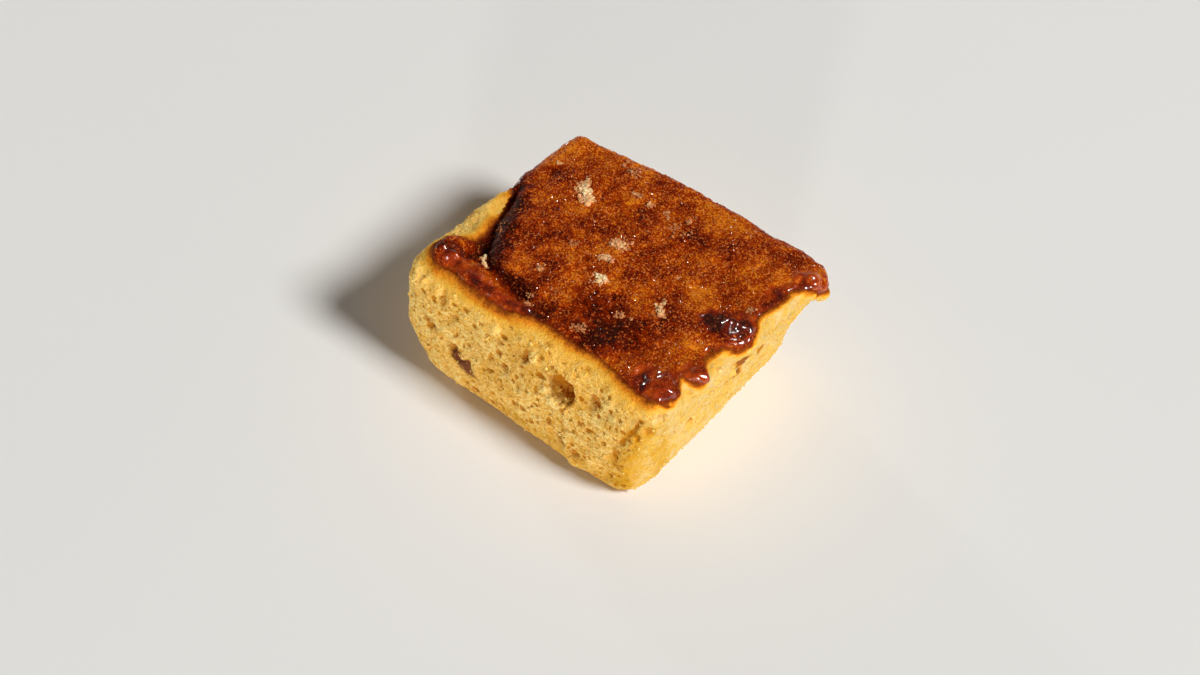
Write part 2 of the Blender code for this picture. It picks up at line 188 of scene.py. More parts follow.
# Sugar and crumb that cling to the crust unbrowned: how much clings, and how light it is.
PALE_CLUMPS = rows_of(
    "path half much light",
    (((-22.0, 13.4), (-20.4, 11.0)), 1.7, 0.8, 0.75),
    (((-20.8, 11.2), (-18.6, 10.0)), 2.4, 1.0, 0.9),
    (((-5.2, 3.6), (-3.4, 3.9)), 2.1, 1.0, 0.6),
    (((-4.8, -1.4), (-3.4, -1.0)), 1.1, 0.9, 0.75),
    (((-1.9, -6.5), (-1.1, -6.3)), 2.1, 1.1, 1.0),
    (((13.2, -2.0), (13.6, -3.4)), 0.9, 0.9, 0.75),
    (((13.4, -4.4), (15.0, -5.3)), 1.5, 0.9, 0.8),
    (((7.6, -11.4), (8.8, -11.2)), 1.2, 0.6, 0.4),
    (((3.0, -19.6), (4.6, -19.2)), 1.6, 0.6, 0.35),
    (((10.6, -10.8), (11.0, -10.6)), 0.5, 0.9, 0.6),
    (((-18.0, 23.4), (-14.4, 22.0)), 1.8, 0.35, 0.4),
    (((-11.8, 17.6), (-9.8, 17.8)), 0.8, 0.7, 0.6),
    (((-6.8, 17.2), (-6.2, 17.4)), 0.7, 0.9, 0.45),
    (((-2.2, 18.4), (-1.2, 17.4)), 0.9, 0.7, 0.4),
    (((3.0, 19.2), (3.4, 19.6)), 0.8, 0.8, 0.4),
    (((1.4, 14.4), (5.6, 15.8)), 2.6, 0.22, 0.35),
    (((-13.4, -12.6), (-12.8, -12.4)), 0.9, 0.9, 0.4),
    (((-10.9, -19.4), (-10.5, -19.0)), 0.9, 0.8, 0.45),
    (((-10.2, -21.2), (-9.6, -20.8)), 1.0, 0.9, 0.5),
    (((-7.8, -15.4), (-7.2, -15.0)), 1.0, 0.35, 0.3),
    (((-12.4, -3.0), (-11.8, -2.4)), 1.3, 0.3, 0.3),
    (((11.4, 5.0), (11.8, 5.4)), 0.6, 0.8, 0.5),
    (((29.0, 8.0), (29.8, 8.6)), 1.0, 0.6, 0.5),
    (((-30.8, 13.6), (-30.2, 13.8)), 0.6, 0.8, 0.7),
    (((-26.2, -17.0), (-25.4, -18.0), (-24.2, -19.2)), 0.7, 1.4, 0.85),
    (((-30.0, -7.0), (-28.0, -11.0)), 1.6, 0.12, 0.3),
)

# ---------------------------------------------- features of the torn side: places are (x, z)
# Holes: a centre, half a width, half a height, a lean in degrees, a depth and how dark their inside is
# painted: painted shade in the hollow, and above 1.1 darker still towards the bruise colour.
TORN_HOLES = rows_of(
    "at half lean deep brown",
    ((6.2, 23.3), (3.6, 3.8), 0.0, 1.1, 1.0),
    ((8.2, 23.2), (2.0, 3.4), 10.0, 0.3, 1.1),
    ((-4.2, 25.8), (1.2, 1.9), 8.0, 1.3, 1.0),
    ((-9.4, 18.3), (1.2, 1.0), 0.0, 0.8, 0.95),
    ((-11.4, 24.6), (1.0, 0.6), 10.0, 0.6, 0.7),
    ((14.9, 24.7), (1.1, 1.7), -14.0, 0.9, 0.8),
    ((17.0, 27.3), (0.9, 0.6), 10.0, 0.3, 0.4),
    ((-28.2, 26.9), (0.7, 2.4), 0.0, 0.8, 0.6),
    ((-24.2, 14.0), (1.3, 1.4), 0.0, 1.0, 0.8),
    ((-21.6, 11.6), (1.2, 1.6), 20.0, 0.9, 1.8),
    ((-19.4, 12.2), (0.9, 1.3), 0.0, 0.8, 1.8),
    ((13.8, 17.5), (0.6, 0.6), 0.0, 0.8, 1.4),
    ((12.7, 6.6), (1.3, 0.9), -8.0, 0.7, 0.7),
    ((7.6, 7.4), (2.0, 0.7), -6.0, 0.5, 0.85),
    ((-13.6, 18.2), (0.7, 0.9), 0.0, 0.6, 0.7),
    ((-9.2, 12.9), (0.7, 0.7), 0.0, 0.6, 0.8),
    ((-4.8, 16.3), (0.5, 1.1), 0.0, 0.5, 0.7),
    ((0.9, 9.7), (0.7, 0.5), 0.0, 0.5, 0.7),
    ((-9.7, 30.0), (0.9, 0.4), 0.0, 0.4, 0.6),
    ((-24.9, 22.8), (0.5, 0.6), 0.0, 0.5, 0.7),
    ((-17.0, 20.0), (0.6, 0.5), 0.0, 0.5, 0.7),
    ((29.3, 24.0), (0.9, 1.6), 0.0, 0.5, 0.65),
)
# A crack down the torn side; much says how darkly its inside is painted with the holes' painted shade.
CRACK = {
    "path": (
        (27.3, 27.0), (26.2, 23.7), (24.4, 19.9), (22.9, 16.9), (22.6, 14.3), (23.1, 11.7), (24.7, 10.2),
    ),
    "half": 1.2, "rise": -0.45, "much": 1.15, "filled": 0.4, "filled_half": 1.9,
}
BRUISES = rows_of(
    "path half much",
    (((-22.4, 12.4), (-20.8, 11.2), (-19.3, 9.6)), 2.6, 1.7),
    (((-19.3, 9.6), (-16.6, 8.6)), 1.3, 0.45),
    (((-32.4, 19.2), (-30.5, 18.0), (-28.7, 16.9)), 1.1, 0.45),
    (((-36.2, 22.4), (-35.8, 23.0)), 0.9, 0.5),
    (((25.0, 26.8), (26.6, 24.0)), 1.8, 0.2),
)
# Where the crumb is damp, smooth and a deeper gold.
TORN_GOLD = rows_of(
    "path half much",
    (((28.5, 22.0), (28.0, 12.0), (25.5, 5.0)), 7.0, 1.0),
    (((30.9, 24.0), (31.0, 25.0)), 1.8, 0.8),
    (((-6.0, 4.4), (19.0, 3.0)), 4.6, 0.6),
    (((-2.0, 22.0), (2.0, 26.0)), 3.0, 0.3),
)
# Torn crumb that stands up pale beside a hole.
PALE_RIMS = rows_of(
    "at radius rise",
    ((4.6, 17.8), 2.4, 0.8),
    ((2.4, 20.0), 1.4, 0.5),
    ((-1.9, 26.9), 2.0, 0.8),
    ((-21.0, 13.2), 1.1, 0.6),
    ((-36.4, 27.0), 1.8, 0.6),
    ((9.6, 9.4), 2.0, 0.6),
    ((-13.0, 26.8), 2.2, 0.4),
    ((-21.4, 25.4), 2.6, 0.35),
    ((13.6, 20.4), 1.8, 0.5),
    ((18.8, 26.6), 3.0, 0.3),
)

# ---------------------------------------------- the other sides: places are (y, z) and (x, z)
# Holes of the ends and the back, with the torn side's columns: the last says how dark their inside is
# painted, as painted shade.
RIGHT_HOLES = rows_of(
    "at half lean deep brown",
    ((3.4, 22.8), (2.6, 4.4), 25.0, 0.2, 1.6),
    ((3.0, 18.0), (1.9, 3.6), 20.0, 0.2, 1.6),
    ((10.3, 19.4), (1.4, 2.8), 14.0, 0.2, 1.3),
    ((0.7, 17.6), (0.8, 3.0), -30.0, 0.2, 0.9),
    ((21.0, 21.0), (1.2, 0.8), 0.0, 0.5, 0.6),
    ((14.0, 28.0), (1.2, 0.9), 0.0, 0.5, 0.5),
    ((-5.0, 27.0), (0.8, 1.4), 20.0, 0.4, 0.45),
    ((-17.5, 21.6), (0.7, 0.7), 0.0, 0.5, 0.6),
    ((-12.1, 14.6), (0.8, 0.8), 0.0, 0.6, 1.1),
    ((-9.0, 9.0), (1.3, 0.9), 0.0, 0.5, 0.5),
)
RIGHT_GOLD = rows_of(
    "path half much",
    (((-7.0, 30.0), (-2.0, 29.0)), 3.6, 0.3),
    (((-23.6, 23.4), (-22.8, 22.2)), 2.4, 0.7),
    (((8.0, 27.0), (20.0, 27.0)), 3.0, 0.3),
    (((-23.0, 16.0), (-22.0, 4.0)), 5.5, 0.8),
)
# A small lump of torn crumb that stands out under the crust's far tip.
RIGHT_RIMS = rows_of(
    "at radius rise",
    ((26.5, 27.6), 2.8, 2.0),
)
LEFT_HOLES = rows_of(
    "at half lean deep brown",
    ((-9.0, 15.0), (1.4, 2.0), -10.0, 1.0, 0.9),
    ((7.5, 21.5), (1.2, 1.0), 0.0, 0.8, 0.8),
    ((16.0, 11.0), (1.6, 1.1), 20.0, 0.8, 0.8),
)
BACK_HOLES = rows_of(
    "at half lean deep brown",
    ((-18.0, 17.5), (1.6, 2.4), -16.0, 1.4, 1.0),
    ((3.5, 11.0), (1.2, 1.4), 0.0, 1.0, 0.8),
    ((12.5, 22.5), (1.1, 1.8), 14.0, 1.0, 0.8),
    ((25.0, 13.0), (1.6, 1.1), 0.0, 0.8, 0.8),
    ((-29.0, 8.5), (1.3, 1.1), 0.0, 0.7, 0.7),
)

# ---------------------------------------------- even relief: the distance from bump to bump, and a height
CRUMB_RELIEF = rows_of(
    "wave rise",
    (5.0, 0.45),
    (2.2, 0.55),
    (0.9, 0.4),
)
CRUMB_TEARS = {"wave": 3.0, "rise": -0.4}
CRUST_RELIEF = rows_of(
    "wave rise",
    (3.6, 1.5),
    (1.7, 1.1),
    (0.95, 1.4),
)
WRINKLES = rows_of(
    "wave rise",
    (2.3, 0.65),
    (1.15, 0.42),
)
LIP_STREAKS = {"wave": 1.0, "rise": 0.45, "squeeze": 0.35}  # drawn out along the lip
# Pores of the crumb: a usual radius, the usual distance to the next one, and a depth as a share of the
# radius.
PORES = rows_of(
    "radius gap deep",
    (0.6, 6.0, 0.9),
    (0.38, 1.9, 0.85),
)
FULL_PORE = 0.5  # a pore this deep has its full colour

# ---------------------------------------------- where one part gives way to the next, from and to
# Of a normal's part out of a side, or upwards.
FACING_A_SIDE = (0.3, 0.8)
TURNED_TO_A_SIDE = (0.15, 0.5)  # for the holes, which reach further round a corner
FACING_UP = (0.2, 0.6)
LYING_FLAT = (0.7, 0.9)
# Of the distance to the crust's edge, which is above zero in the crust.
CRUMB_TO_CRUST = (-0.5, 0.6)
DULL_TO_GLOSSY = (-0.6, 0.4)
CLOSED_NEAR_CRUST = (-6.0, -2.0)
DENSE_NEAR_CRUST = (-5.0, -1.5)
SUGARED_FROM = (0.6, 1.8)
CLUMPED_FROM = (0.3, 1.2)
FEW_CRUMBS_FROM = (-6.0, -3.0)
NO_CRUMBS_FROM = (-2.6, -1.2)
# Of X.
OVER_RIGHT_END = (24.0, 29.0)
EDGE_ROLLS_FROM = (22.0, 27.0)
EDGE_SHINES_FROM = (20.0, 27.0)
WEDGE_TO_CRUST = (-34.0, -30.0)
# Of Y.
BEHIND_THE_LOBES = (8.0, 16.0)
# Of Z.
NOTCHES_FROM = (24.0, 29.0)
SKIN_TO_CRUMB = (0.8, 2.6)
CRUMBS_CLING_FROM = (1.0, 2.0)
HELD_BY_FLOOR = (0.0, 1.6)  # the underside stays flat
# Of the distance from the middle of a hole or a pore, which is 1 on its edge.
HOLE_WALL = (0.5, 1.12)
PORE_WALL = (0.5, 1.05)


# ---------------------------------------------- small helpers on arrays of points, in millimetres
def smooth_step(low, high, value):
    """0 below low, 1 above high, and a smooth rise between them."""
    share = np.clip((value - low) / (high - low), 0.0, 1.0)
    return share * share * (3.0 - 2.0 * share)


def lessened(value, *shares):
    """A value less a share of itself for each share and mask."""
    for share, where in shares:
        value = value * (1.0 - share * where)
    return value


def dome(distance):
    """1 at distance 0, 0 at distance 1 and beyond, with a round top and a soft foot."""
    return np.clip(1.0 - distance * distance, 0.0, None) ** 2


def waves(points, wave, seed):
    """Noise between about -1 and 1 at each point, whose bumps are one wave apart."""
    shift = Vector((seed, 2.0 * seed, -seed))
    return np.array([noise.noise(Vector(point) / wave + shift) for point in points])


def even_relief(points, layers, seed):
    """Several noises added up, each with its own wave and height."""
    return sum(layer["rise"] * waves(points, layer["wave"], seed + 4.0 * index)
               for index, layer in enumerate(layers))


def distance_to_path(path, places):
    """Distance of each place of a plane to an open path."""
    nearest = np.full(len(places), 1e9)
    for start, end in zip(path, path[1:]):
        run = np.subtract(end, start)
        share = np.clip((places - start) @ run / max(run @ run, 1e-9), 0.0, 1.0)
        nearest = np.minimum(nearest, np.linalg.norm(places - start - share[:, None] * run, axis=1))
    return nearest


def rounded(outline, rounds):
    """A closed outline with its corners cut off in that many rounds, at a quarter of each side."""
    for _ in range(rounds):
        sides = list(zip(outline, outline[1:] + outline[:1]))
        outline = tuple(
            tuple(start[axis] + (end[axis] - start[axis]) * share for axis in (0, 1))
            for start, end in sides for share in (0.25, 0.75)
        )
    return outline


def is_inside(outline, places):
    """Whether a ray from each place towards +X leaves the outline once more than it enters it."""
    inside = np.zeros(len(places), bool)
    x, y = places.T
    for (x1, y1), (x2, y2) in zip(outline, outline[1:] + outline[:1]):
        if y1 != y2:
            inside ^= ((y1 > y) != (y2 > y)) & (x < x1 + (y - y1) * (x2 - x1) / (y2 - y1))
    return inside


def strength(mark, places, ragged):
    """How strongly each place shows a mark along a path; ragged is noise that frays its edge."""
    return dome(distance_to_path(mark["path"], places) / mark["half"] + 0.3 * ragged)


def spread(marks, places, ragged):
    """How strongly each place shows a set of marks, added up."""
    return sum(mark["much"] * strength(mark, places, ragged) for mark in marks)


def bumps(marks, places):
    """The heights of round bumps and hollows, added up at each place."""
    return sum(
        mark["rise"] * dome(np.linalg.norm(places - np.array(mark["at"]), axis=1) / mark["radius"])
        for mark in marks
    )


def hole_distance(hole, places):
    """Distance from a leaning oval hole's centre, 1 on its edge."""
    lean = math.radians(hole["lean"])
    away = places - np.array(hole["at"])
    across = (away[:, 0] * math.cos(lean) + away[:, 1] * math.sin(lean)) / hole["half"][0]
    along = (away[:, 1] * math.cos(lean) - away[:, 0] * math.sin(lean)) / hole["half"][1]
    return np.hypot(across, along)


def holes_cut(holes, places, ragged):
    """Depth, and how dark the inside is painted, that a set of holes gives to each place; the darkness is
    painted shade.
    """
    depth = np.zeros(len(places))
    brown = np.zeros(len(places))
    for hole in holes:
        inside = 1.0 - smooth_step(*HOLE_WALL, hole_distance(hole, places) * (1.0 + 0.35 * ragged))
        depth += hole["deep"] * inside
        brown = np.maximum(brown, hole["brown"] * inside)
    return depth, brown


# ---------------------------------------------- sizes and colours that a user would change
def length_property(name, description, millimetres):
    """A length, given in millimetres and kept in metres."""
    return bpy.props.FloatProperty(
        name=name, description=description, default=millimetres * MM, min=0.0,
        unit="LENGTH", subtype="DISTANCE", precision=5,
    )


def color_property(name, description, color):
    """A colour, in linear parts from 0 to 1."""
    return bpy.props.FloatVectorProperty(
        name=name, description=description, default=color, size=3, min=0.0, max=1.0, subtype="COLOR",
    )


def angle_property(name, description, degrees):
    """An angle, given in degrees."""
    return bpy.props.FloatProperty(
        name=name, description=description, default=math.radians(degrees), subtype="ANGLE",
    )


def power_property(name, description, power):
    """The power or strength of a light."""
    return bpy.props.FloatProperty(name=name, description=description, default=power, min=0.0)


def count_property(name, description, count):
    """How many there are of something."""
    return bpy.props.IntProperty(name=name, description=description, default=count, min=0)


class SlabSettings(bpy.types.PropertyGroup):
    """Sizes of the slab's relief and colours of its crumb and crust."""

    crag_height: length_property("Crag height", "Height of the crumb's crags", 0.45)
    grain_height: length_property("Grain height", "Height of the sugar grain baked into the crust", 0.16)
    edge_height: length_property("Edge height", "Height of the caramel's rolled edge", 0.35)
    crumb_color: color_property("Crumb", "Colour of the crumb", (0.88, 0.51, 0.115))
    # The crumb's ramp runs from shade_color, painted shade between the crags, to light_color, painted light
    # on their tops; light_color is also the base of the gold under the crust and of the clinging crumbs'
    # lightest tone.
    light_color: color_property("Crags", "Colour of the crumb's lightest crags", (1.0, 0.72, 0.25))
    shade_color: color_property("Recesses", "Colour of the crumb between its crags", (0.78, 0.38, 0.045))
    # hollow_color is painted shade: the darker, more saturated colour painted inside pores, pits, holes and
    # the crack.
    hollow_color: color_property("Hollows", "Colour inside the crumb's pores", (0.56, 0.2, 0.006))
    gold_color: color_property("Damp gold", "Colour of its damp, smooth parts", (0.62, 0.29, 0.005))
    # Partly the lit end's smoother skin, partly a painted wash: the paler, whiter look that the strong light
    # gives the end that faces it.
    lit_end_color: color_property("Cream", "Colour of the crumb at the right end", (0.69, 0.48, 0.175))
    rind_color: color_property("Rind", "Colour of the crumb just under the crust", (0.92, 0.46, 0.035))
    bruise_color: color_property("Bruise", "Colour of the damp brown spots in it", (0.21, 0.06, 0.026))
    edge_color: color_property("Crust edge", "Colour of the crust's dark edge", (0.17, 0.024, 0.003))
    crust_color: color_property("Crust", "Usual colour of the browned crust", (0.33, 0.03, 0.0002))
    scorch_color: color_property("Scorch", "Colour of its darkest patches", (0.03, 0.0045, 0.0015))
    amber_color: color_property("Amber", "Colour of its lightest patches", (0.9, 0.26, 0.01))


class GrainSettings(bpy.types.PropertyGroup):
    """Number and size of what lies on the slab."""

    sugar_count: count_property("Sugar grains", "Number of sugar grains on the crust", 9000)
    sugar_radius: length_property("Sugar radius", "Usual radius of a sugar grain", 0.15)
    clump_grains: count_property("Clump grains", "Number of grains in the pale clumps", 1900)
    clump_radius: length_property("Clump grain radius", "Usual radius of a grain in a pale clump", 0.22)
    crumb_count: count_property("Loose crumbs", "Number of crumbs that cling to the torn sides", 3400)
    crumb_radius: length_property("Crumb radius", "Usual radius of a clinging crumb", 0.27)


class StageSettings(bpy.types.PropertyGroup):
    """Camera, lights and floor."""

    azimuth: angle_property("Azimuth", "Turn of the camera from the torn side's front", 39.0)
    elevation: angle_property("Elevation", "Height of the camera above the horizon", 52.43)
    roll: angle_property("Roll", "Tilt of the camera about its own axis", 0.96)
    distance: length_property("Distance", "From the camera to the point it looks at", 642.3)
    target: bpy.props.FloatVectorProperty(
        name="Target", description="Point that the camera looks at",
        default=(-0.43 * MM, -7.22 * MM, 14.0 * MM), subtype="TRANSLATION", unit="LENGTH", precision=5,
    )
    floor_color: color_property("Floor", "Colour of the pale floor", (0.9, 0.895, 0.875))
    key_power: power_property("Key light", "Power of the soft light from the right, in watts", 452.0)
    fill_power: power_property("Fill light", "Power of the low light from the front, in watts", 35.0)
    rim_power: power_property("Rim light", "Power of the low light from the left, in watts", 22.0)
    room_light: power_property("Room light", "Strength of the even light from all around", 0.048)


# ---------------------------------------------- meshes and their masks
WELD = 0.001 * MM  # points closer than this are one
UNDERSIDE = 0.002 * MM  # faces below this are the underside


def mesh_of(bm, name):
    """A mesh from a bmesh, which it frees."""
    mesh = bpy.data.meshes.new(name)
    bm.to_mesh(mesh)
    bm.free()
    return mesh


def in_scene(name, data):
    """A new object, put in the scene."""
    added = bpy.data.objects.new(name, data)
    bpy.context.scene.collection.objects.link(added)
    return added


def smooth_quads():
    """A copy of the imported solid, its triangles joined to quads and smoothed to facets of about 0.4 mm."""
    bm = bmesh.new()
    bm.from_mesh(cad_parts[NODE].data)
    bmesh.ops.remove_doubles(bm, verts=bm.verts, dist=WELD)
    under = [face for face in bm.faces if face.calc_center_median().z < UNDERSIDE]
    bmesh.ops.dissolve_faces(bm, faces=under, use_verts=False)
    bmesh.ops.join_triangles(
        bm, faces=bm.faces, angle_face_threshold=math.pi, angle_shape_threshold=math.pi,
    )
    slab = in_scene("sponge_slab", mesh_of(bm, "sponge_slab"))
    smoothing = slab.modifiers.new("Smoothing", "SUBSURF")
    smoothing.levels = smoothing.render_levels = 2
    apply_modifiers(slab)
    return slab


def apply_modifiers(piece):
    """Makes a piece's mesh what its modifiers show."""
    bpy.context.view_layer.update()
    shown = piece.evaluated_get(bpy.context.evaluated_depsgraph_get())
    coarse = piece.data
    piece.data = bpy.data.meshes.new_from_object(shown)
    piece.modifiers.clear()
    bpy.data.meshes.remove(coarse)
    piece.data.name = piece.name


def points_and_normals(mesh):
    """The points of a mesh in millimetres, and their normals."""
    points = np.empty(len(mesh.vertices) * 3)
    mesh.vertices.foreach_get("co", points)
    normals = np.empty(len(mesh.vertices) * 3)
    mesh.vertex_normals.foreach_get("vector", normals)
    return points.reshape(-1, 3) / MM, normals.reshape(-1, 3)


def keep_mask(mesh, name, values):
    """Stores a number for each point of a mesh, for its material to read."""
    mesh.attributes.new(name, "FLOAT", "POINT").data.foreach_set("value", values.astype(np.float32))


def mask_of(mesh, name):
    """The numbers stored for the points of a mesh."""
    values = np.empty(len(mesh.vertices), np.float32)
    mesh.attributes[name].data.foreach_get("value", values)
    return values.astype(float)


def first_points(mesh):
    """The index of each face's first point."""
    starts = np.empty(len(mesh.polygons), np.int32)
    mesh.polygons.foreach_get("loop_start", starts)
    corners = np.empty(len(mesh.loops), np.int32)
    mesh.loops.foreach_get("vertex_index", corners)
    return corners[starts]


# ---------------------------------------------- what each point of the slab is
# Masks of the slab that its material, or what lies on it, reads.
SHADED_MASKS = (
    "browning", "gloss", "skin", "gold", "crag", "pore", "hole", "bruise", "rim", "lit_end", "scorch",
    "amber", "pale",
)


def browning(points):
    """Distance in millimetres to the crust's edge, above zero in the crust and below it in the crumb."""
    places, height = points[:, :2], points[:, 2]
    outline = rounded(CRUST_CORNERS, 2)
    to_outline = distance_to_path(outline + outline[:1], places)
    lowest = CRUST_LOWEST + CRUST_DRIPS["size"] * waves(points, CRUST_DRIPS["wave"], seed=29.0)
    over_end = LOBES_END_HIGHER * smooth_step(*OVER_RIGHT_END, points[:, 0])
    lowest += over_end * (1.0 - smooth_step(*BEHIND_THE_LOBES, points[:, 1]))
    within = -np.log(np.exp(-to_outline) + np.exp(lowest - height)) + 0.25
    beyond = -np.hypot(to_outline, np.clip(EDGE_HEIGHT - height, 0.0, None))
    ragged = 0.4 * waves(points, 2.4, seed=41.0) + 0.15 * waves(points, 0.9, seed=43.0)
    return np.where(is_inside(outline, places), within, beyond) + ragged


def side_holes(points, normals):
    """Depth of the named holes on all four sides, and how dark their inside is painted, which is painted
    shade.
    """
    ragged = waves(points, 0.9, seed=47.0) + 0.6 * waves(points, 2.1, seed=53.0)
    along, across = points[:, [0, 2]], points[:, [1, 2]]
    depth = np.zeros(len(points))
    brown = np.zeros(len(points))
    for holes, places, facing in (
        (TORN_HOLES, along, -normals[:, 1]),
        (BACK_HOLES, along, normals[:, 1]),
        (RIGHT_HOLES, across, normals[:, 0]),
        (LEFT_HOLES, across, -normals[:, 0]),
    ):
        turned = smooth_step(*TURNED_TO_A_SIDE, facing)
        deep, dark = holes_cut(holes, places, ragged)
        depth += deep * turned
        brown = np.maximum(brown, dark * turned)
    return depth, brown


def slab_masks(points, normals):
    """What each point of the slab is, as numbers that are mostly from 0 to 1."""
    places, on_side, on_end = points[:, :2], points[:, [0, 2]], points[:, [1, 2]]
    ragged = waves(points, 1.5, seed=103.0)
    torn_side = smooth_step(*FACING_A_SIDE, -normals[:, 1])
    right_end = smooth_step(*FACING_A_SIDE, normals[:, 0])
    brown_at = browning(points)
    brown_at = np.where(brown_at < 0.0, brown_at * (1.0 + 1.4 * right_end), brown_at)

    notch = bumps(NOTCHES, places) * smooth_step(*NOTCHES_FROM, points[:, 2])
    gold = spread(TORN_GOLD, on_side, ragged) * torn_side
    gold += spread(RIGHT_GOLD, on_end, ragged) * right_end
    gloss = np.clip(spread(GLOSSY, places, ragged), 0.0, 1.0) * smooth_step(*DULL_TO_GLOSSY, brown_at)
    on_edge = dome((brown_at - 0.8) / 1.6)
    gloss = np.maximum(gloss, 0.5 * smooth_step(*EDGE_SHINES_FROM, points[:, 0]) * on_edge)

    left_of_crust = 1.0 - smooth_step(*WEDGE_TO_CRUST, points[:, 0])
    depth, brown = side_holes(points, normals)
    to_crack = distance_to_path(CRACK["path"], on_side)
    crack = dome((to_crack + 0.5 * ragged) / CRACK["half"]) * torn_side
    crack = crack * (0.35 + 0.65 * smooth_step(-0.3, 0.3, waves(points, 2.6, seed=117.0)))
    return {
        "browning": brown_at,
        "gloss": gloss,
        "skin": 1.0 - smooth_step(*SKIN_TO_CRUMB, points[:, 2] + 0.8 * waves(points, 2.4, seed=101.0)),
        "gold": np.clip(gold - 0.25 * notch, 0.0, 1.0),
        # The end that faces the key light; its cream colour is partly a painted wash of that light.
        "lit_end": right_end,
        "wedge": left_of_crust * smooth_step(*FACING_UP, normals[:, 2]),
        "notch": notch,
        "depth": depth,
        "brown": brown,
        "crack": crack,
        "filled": CRACK["filled"] * dome(to_crack / CRACK["filled_half"]) * torn_side,
        "hole": np.maximum(brown, CRACK["much"] * crack),
        "rim": bumps(PALE_RIMS, on_side) * torn_side + bumps(RIGHT_RIMS, on_end) * right_end,
        "bruise": spread(BRUISES, on_side, ragged) * torn_side,
        "scorch": spread(SCORCHED, places, ragged),
        "amber": spread(AMBER, places, ragged),
        "pale": np.clip(spread(PALE_CLUMPS, places, 2.0 * ragged), 0.0, 1.0),
    }


# ---------------------------------------------- the slab's relief
def crust_rise(points, brown_at, gloss, settings):
    """Height of the crust's grain, wrinkles, blisters, grooves and rolled edge."""
    places = points[:, :2]
    rise = settings.grain_height / MM * even_relief(points, CRUST_RELIEF, seed=61.0) * (1.0 - 0.4 * gloss)
    rise += gloss * gloss * even_relief(points, WRINKLES, seed=73.0)
    drawn = points * (LIP_STREAKS["squeeze"], 1.0, 1.0)
    on_lip = dome(distance_to_path(LIP, places) / LIP_HALF)
    rise += LIP_STREAKS["rise"] * on_lip * waves(drawn, LIP_STREAKS["wave"], seed=77.0)
    rise += bumps(BLISTERS, places)
    wander = 0.35 * waves(points, 2.2, seed=79.0)
    for groove in GROOVES:
        rise += groove["rise"] * dome((distance_to_path(groove["path"], places) + wander) / groove["half"])
    rolled = dome((brown_at - 0.9) / 1.3) - 0.8 * dome((brown_at + 0.5) / 0.9)
    over_end = 0.1 + 0.9 * smooth_step(*EDGE_ROLLS_FROM, points[:, 0])
    return rise + settings.edge_height / MM * over_end * rolled


def crag_rise(points, settings):
    """Height of the crumb's crags and lumps, with sharp valleys where it tore."""
    tears = CRUMB_TEARS["rise"] * np.abs(waves(points, CRUMB_TEARS["wave"], seed=97.0))
    return settings.crag_height / MM * (even_relief(points, CRUMB_RELIEF, seed=83.0) + tears)


def pores(points, openness):
    """Depth of the crumb's pores at each point: drawn-out, uneven hollows, gathered where it is open."""
    rng = np.random.default_rng(7)
    tree = KDTree(len(points))
    for index, point in enumerate(points):
        tree.insert(point, index)
    tree.balance()
    ragged = waves(points, 0.8, seed=107.0)
    depth = np.zeros(len(points))
    for kind in PORES:
        taken = np.zeros(len(points), bool)
        for index in rng.permutation(len(points)):
            if taken[index] or openness[index] < rng.random():
                continue
            radius = kind["radius"] * rng.lognormal(0.0, 0.3)
            gap = kind["gap"] * rng.uniform(0.5, 1.4)
            stretch = rng.uniform(1.0, 1.8)
            axis = rng.normal(size=3)
            axis /= np.linalg.norm(axis)
            found = tree.find_range(points[index], max(gap, 1.6 * radius * stretch))
            near = np.array([item[1] for item in found])
            distance = np.array([item[2] for item in found])
            taken[near[distance < gap]] = True
            along = (points[near] - points[index]) @ axis
            oval = np.sqrt(np.clip(distance**2 - along**2, 0.0, None) + (along / stretch) ** 2) / radius
            cut = kind["deep"] * radius * (1.0 - smooth_step(*PORE_WALL, oval * (1.0 + 0.6 * ragged[near])))
            depth[near] = np.maximum(depth[near], cut)
    return depth


def crumb_relief(points, crumb, masks, settings):
    """Depth of the crumb's pores and height of its crags, both weaker where the crumb is dense or smooth."""
    brown_at, wedge = masks["browning"], masks["wedge"]
    even = np.clip(0.1 * masks["gold"] + 0.4 * masks["lit_end"], 0.0, 0.8)
    open_crumb = lessened(
        crumb,
        (0.8, masks["skin"]), (0.8, even), (0.85, smooth_step(*CLOSED_NEAR_CRUST, brown_at)),
        (0.6, masks["lit_end"]), (0.7, np.clip(masks["brown"], 0.0, 1.0)), (0.8, wedge),
    )
    gathered = 0.25 + 0.75 * smooth_step(-0.25, 0.3, waves(points, 6.5, seed=109.0))
    pore = pores(points, open_crumb * gathered) * open_crumb
    dense = smooth_step(*DENSE_NEAR_CRUST, brown_at) * (1.0 - wedge)
    crags = lessened(crag_rise(points, settings), (0.5, masks["skin"]), (0.6, even), (0.7, dense))
    return pore, crags * (1.0 + 0.5 * wedge)


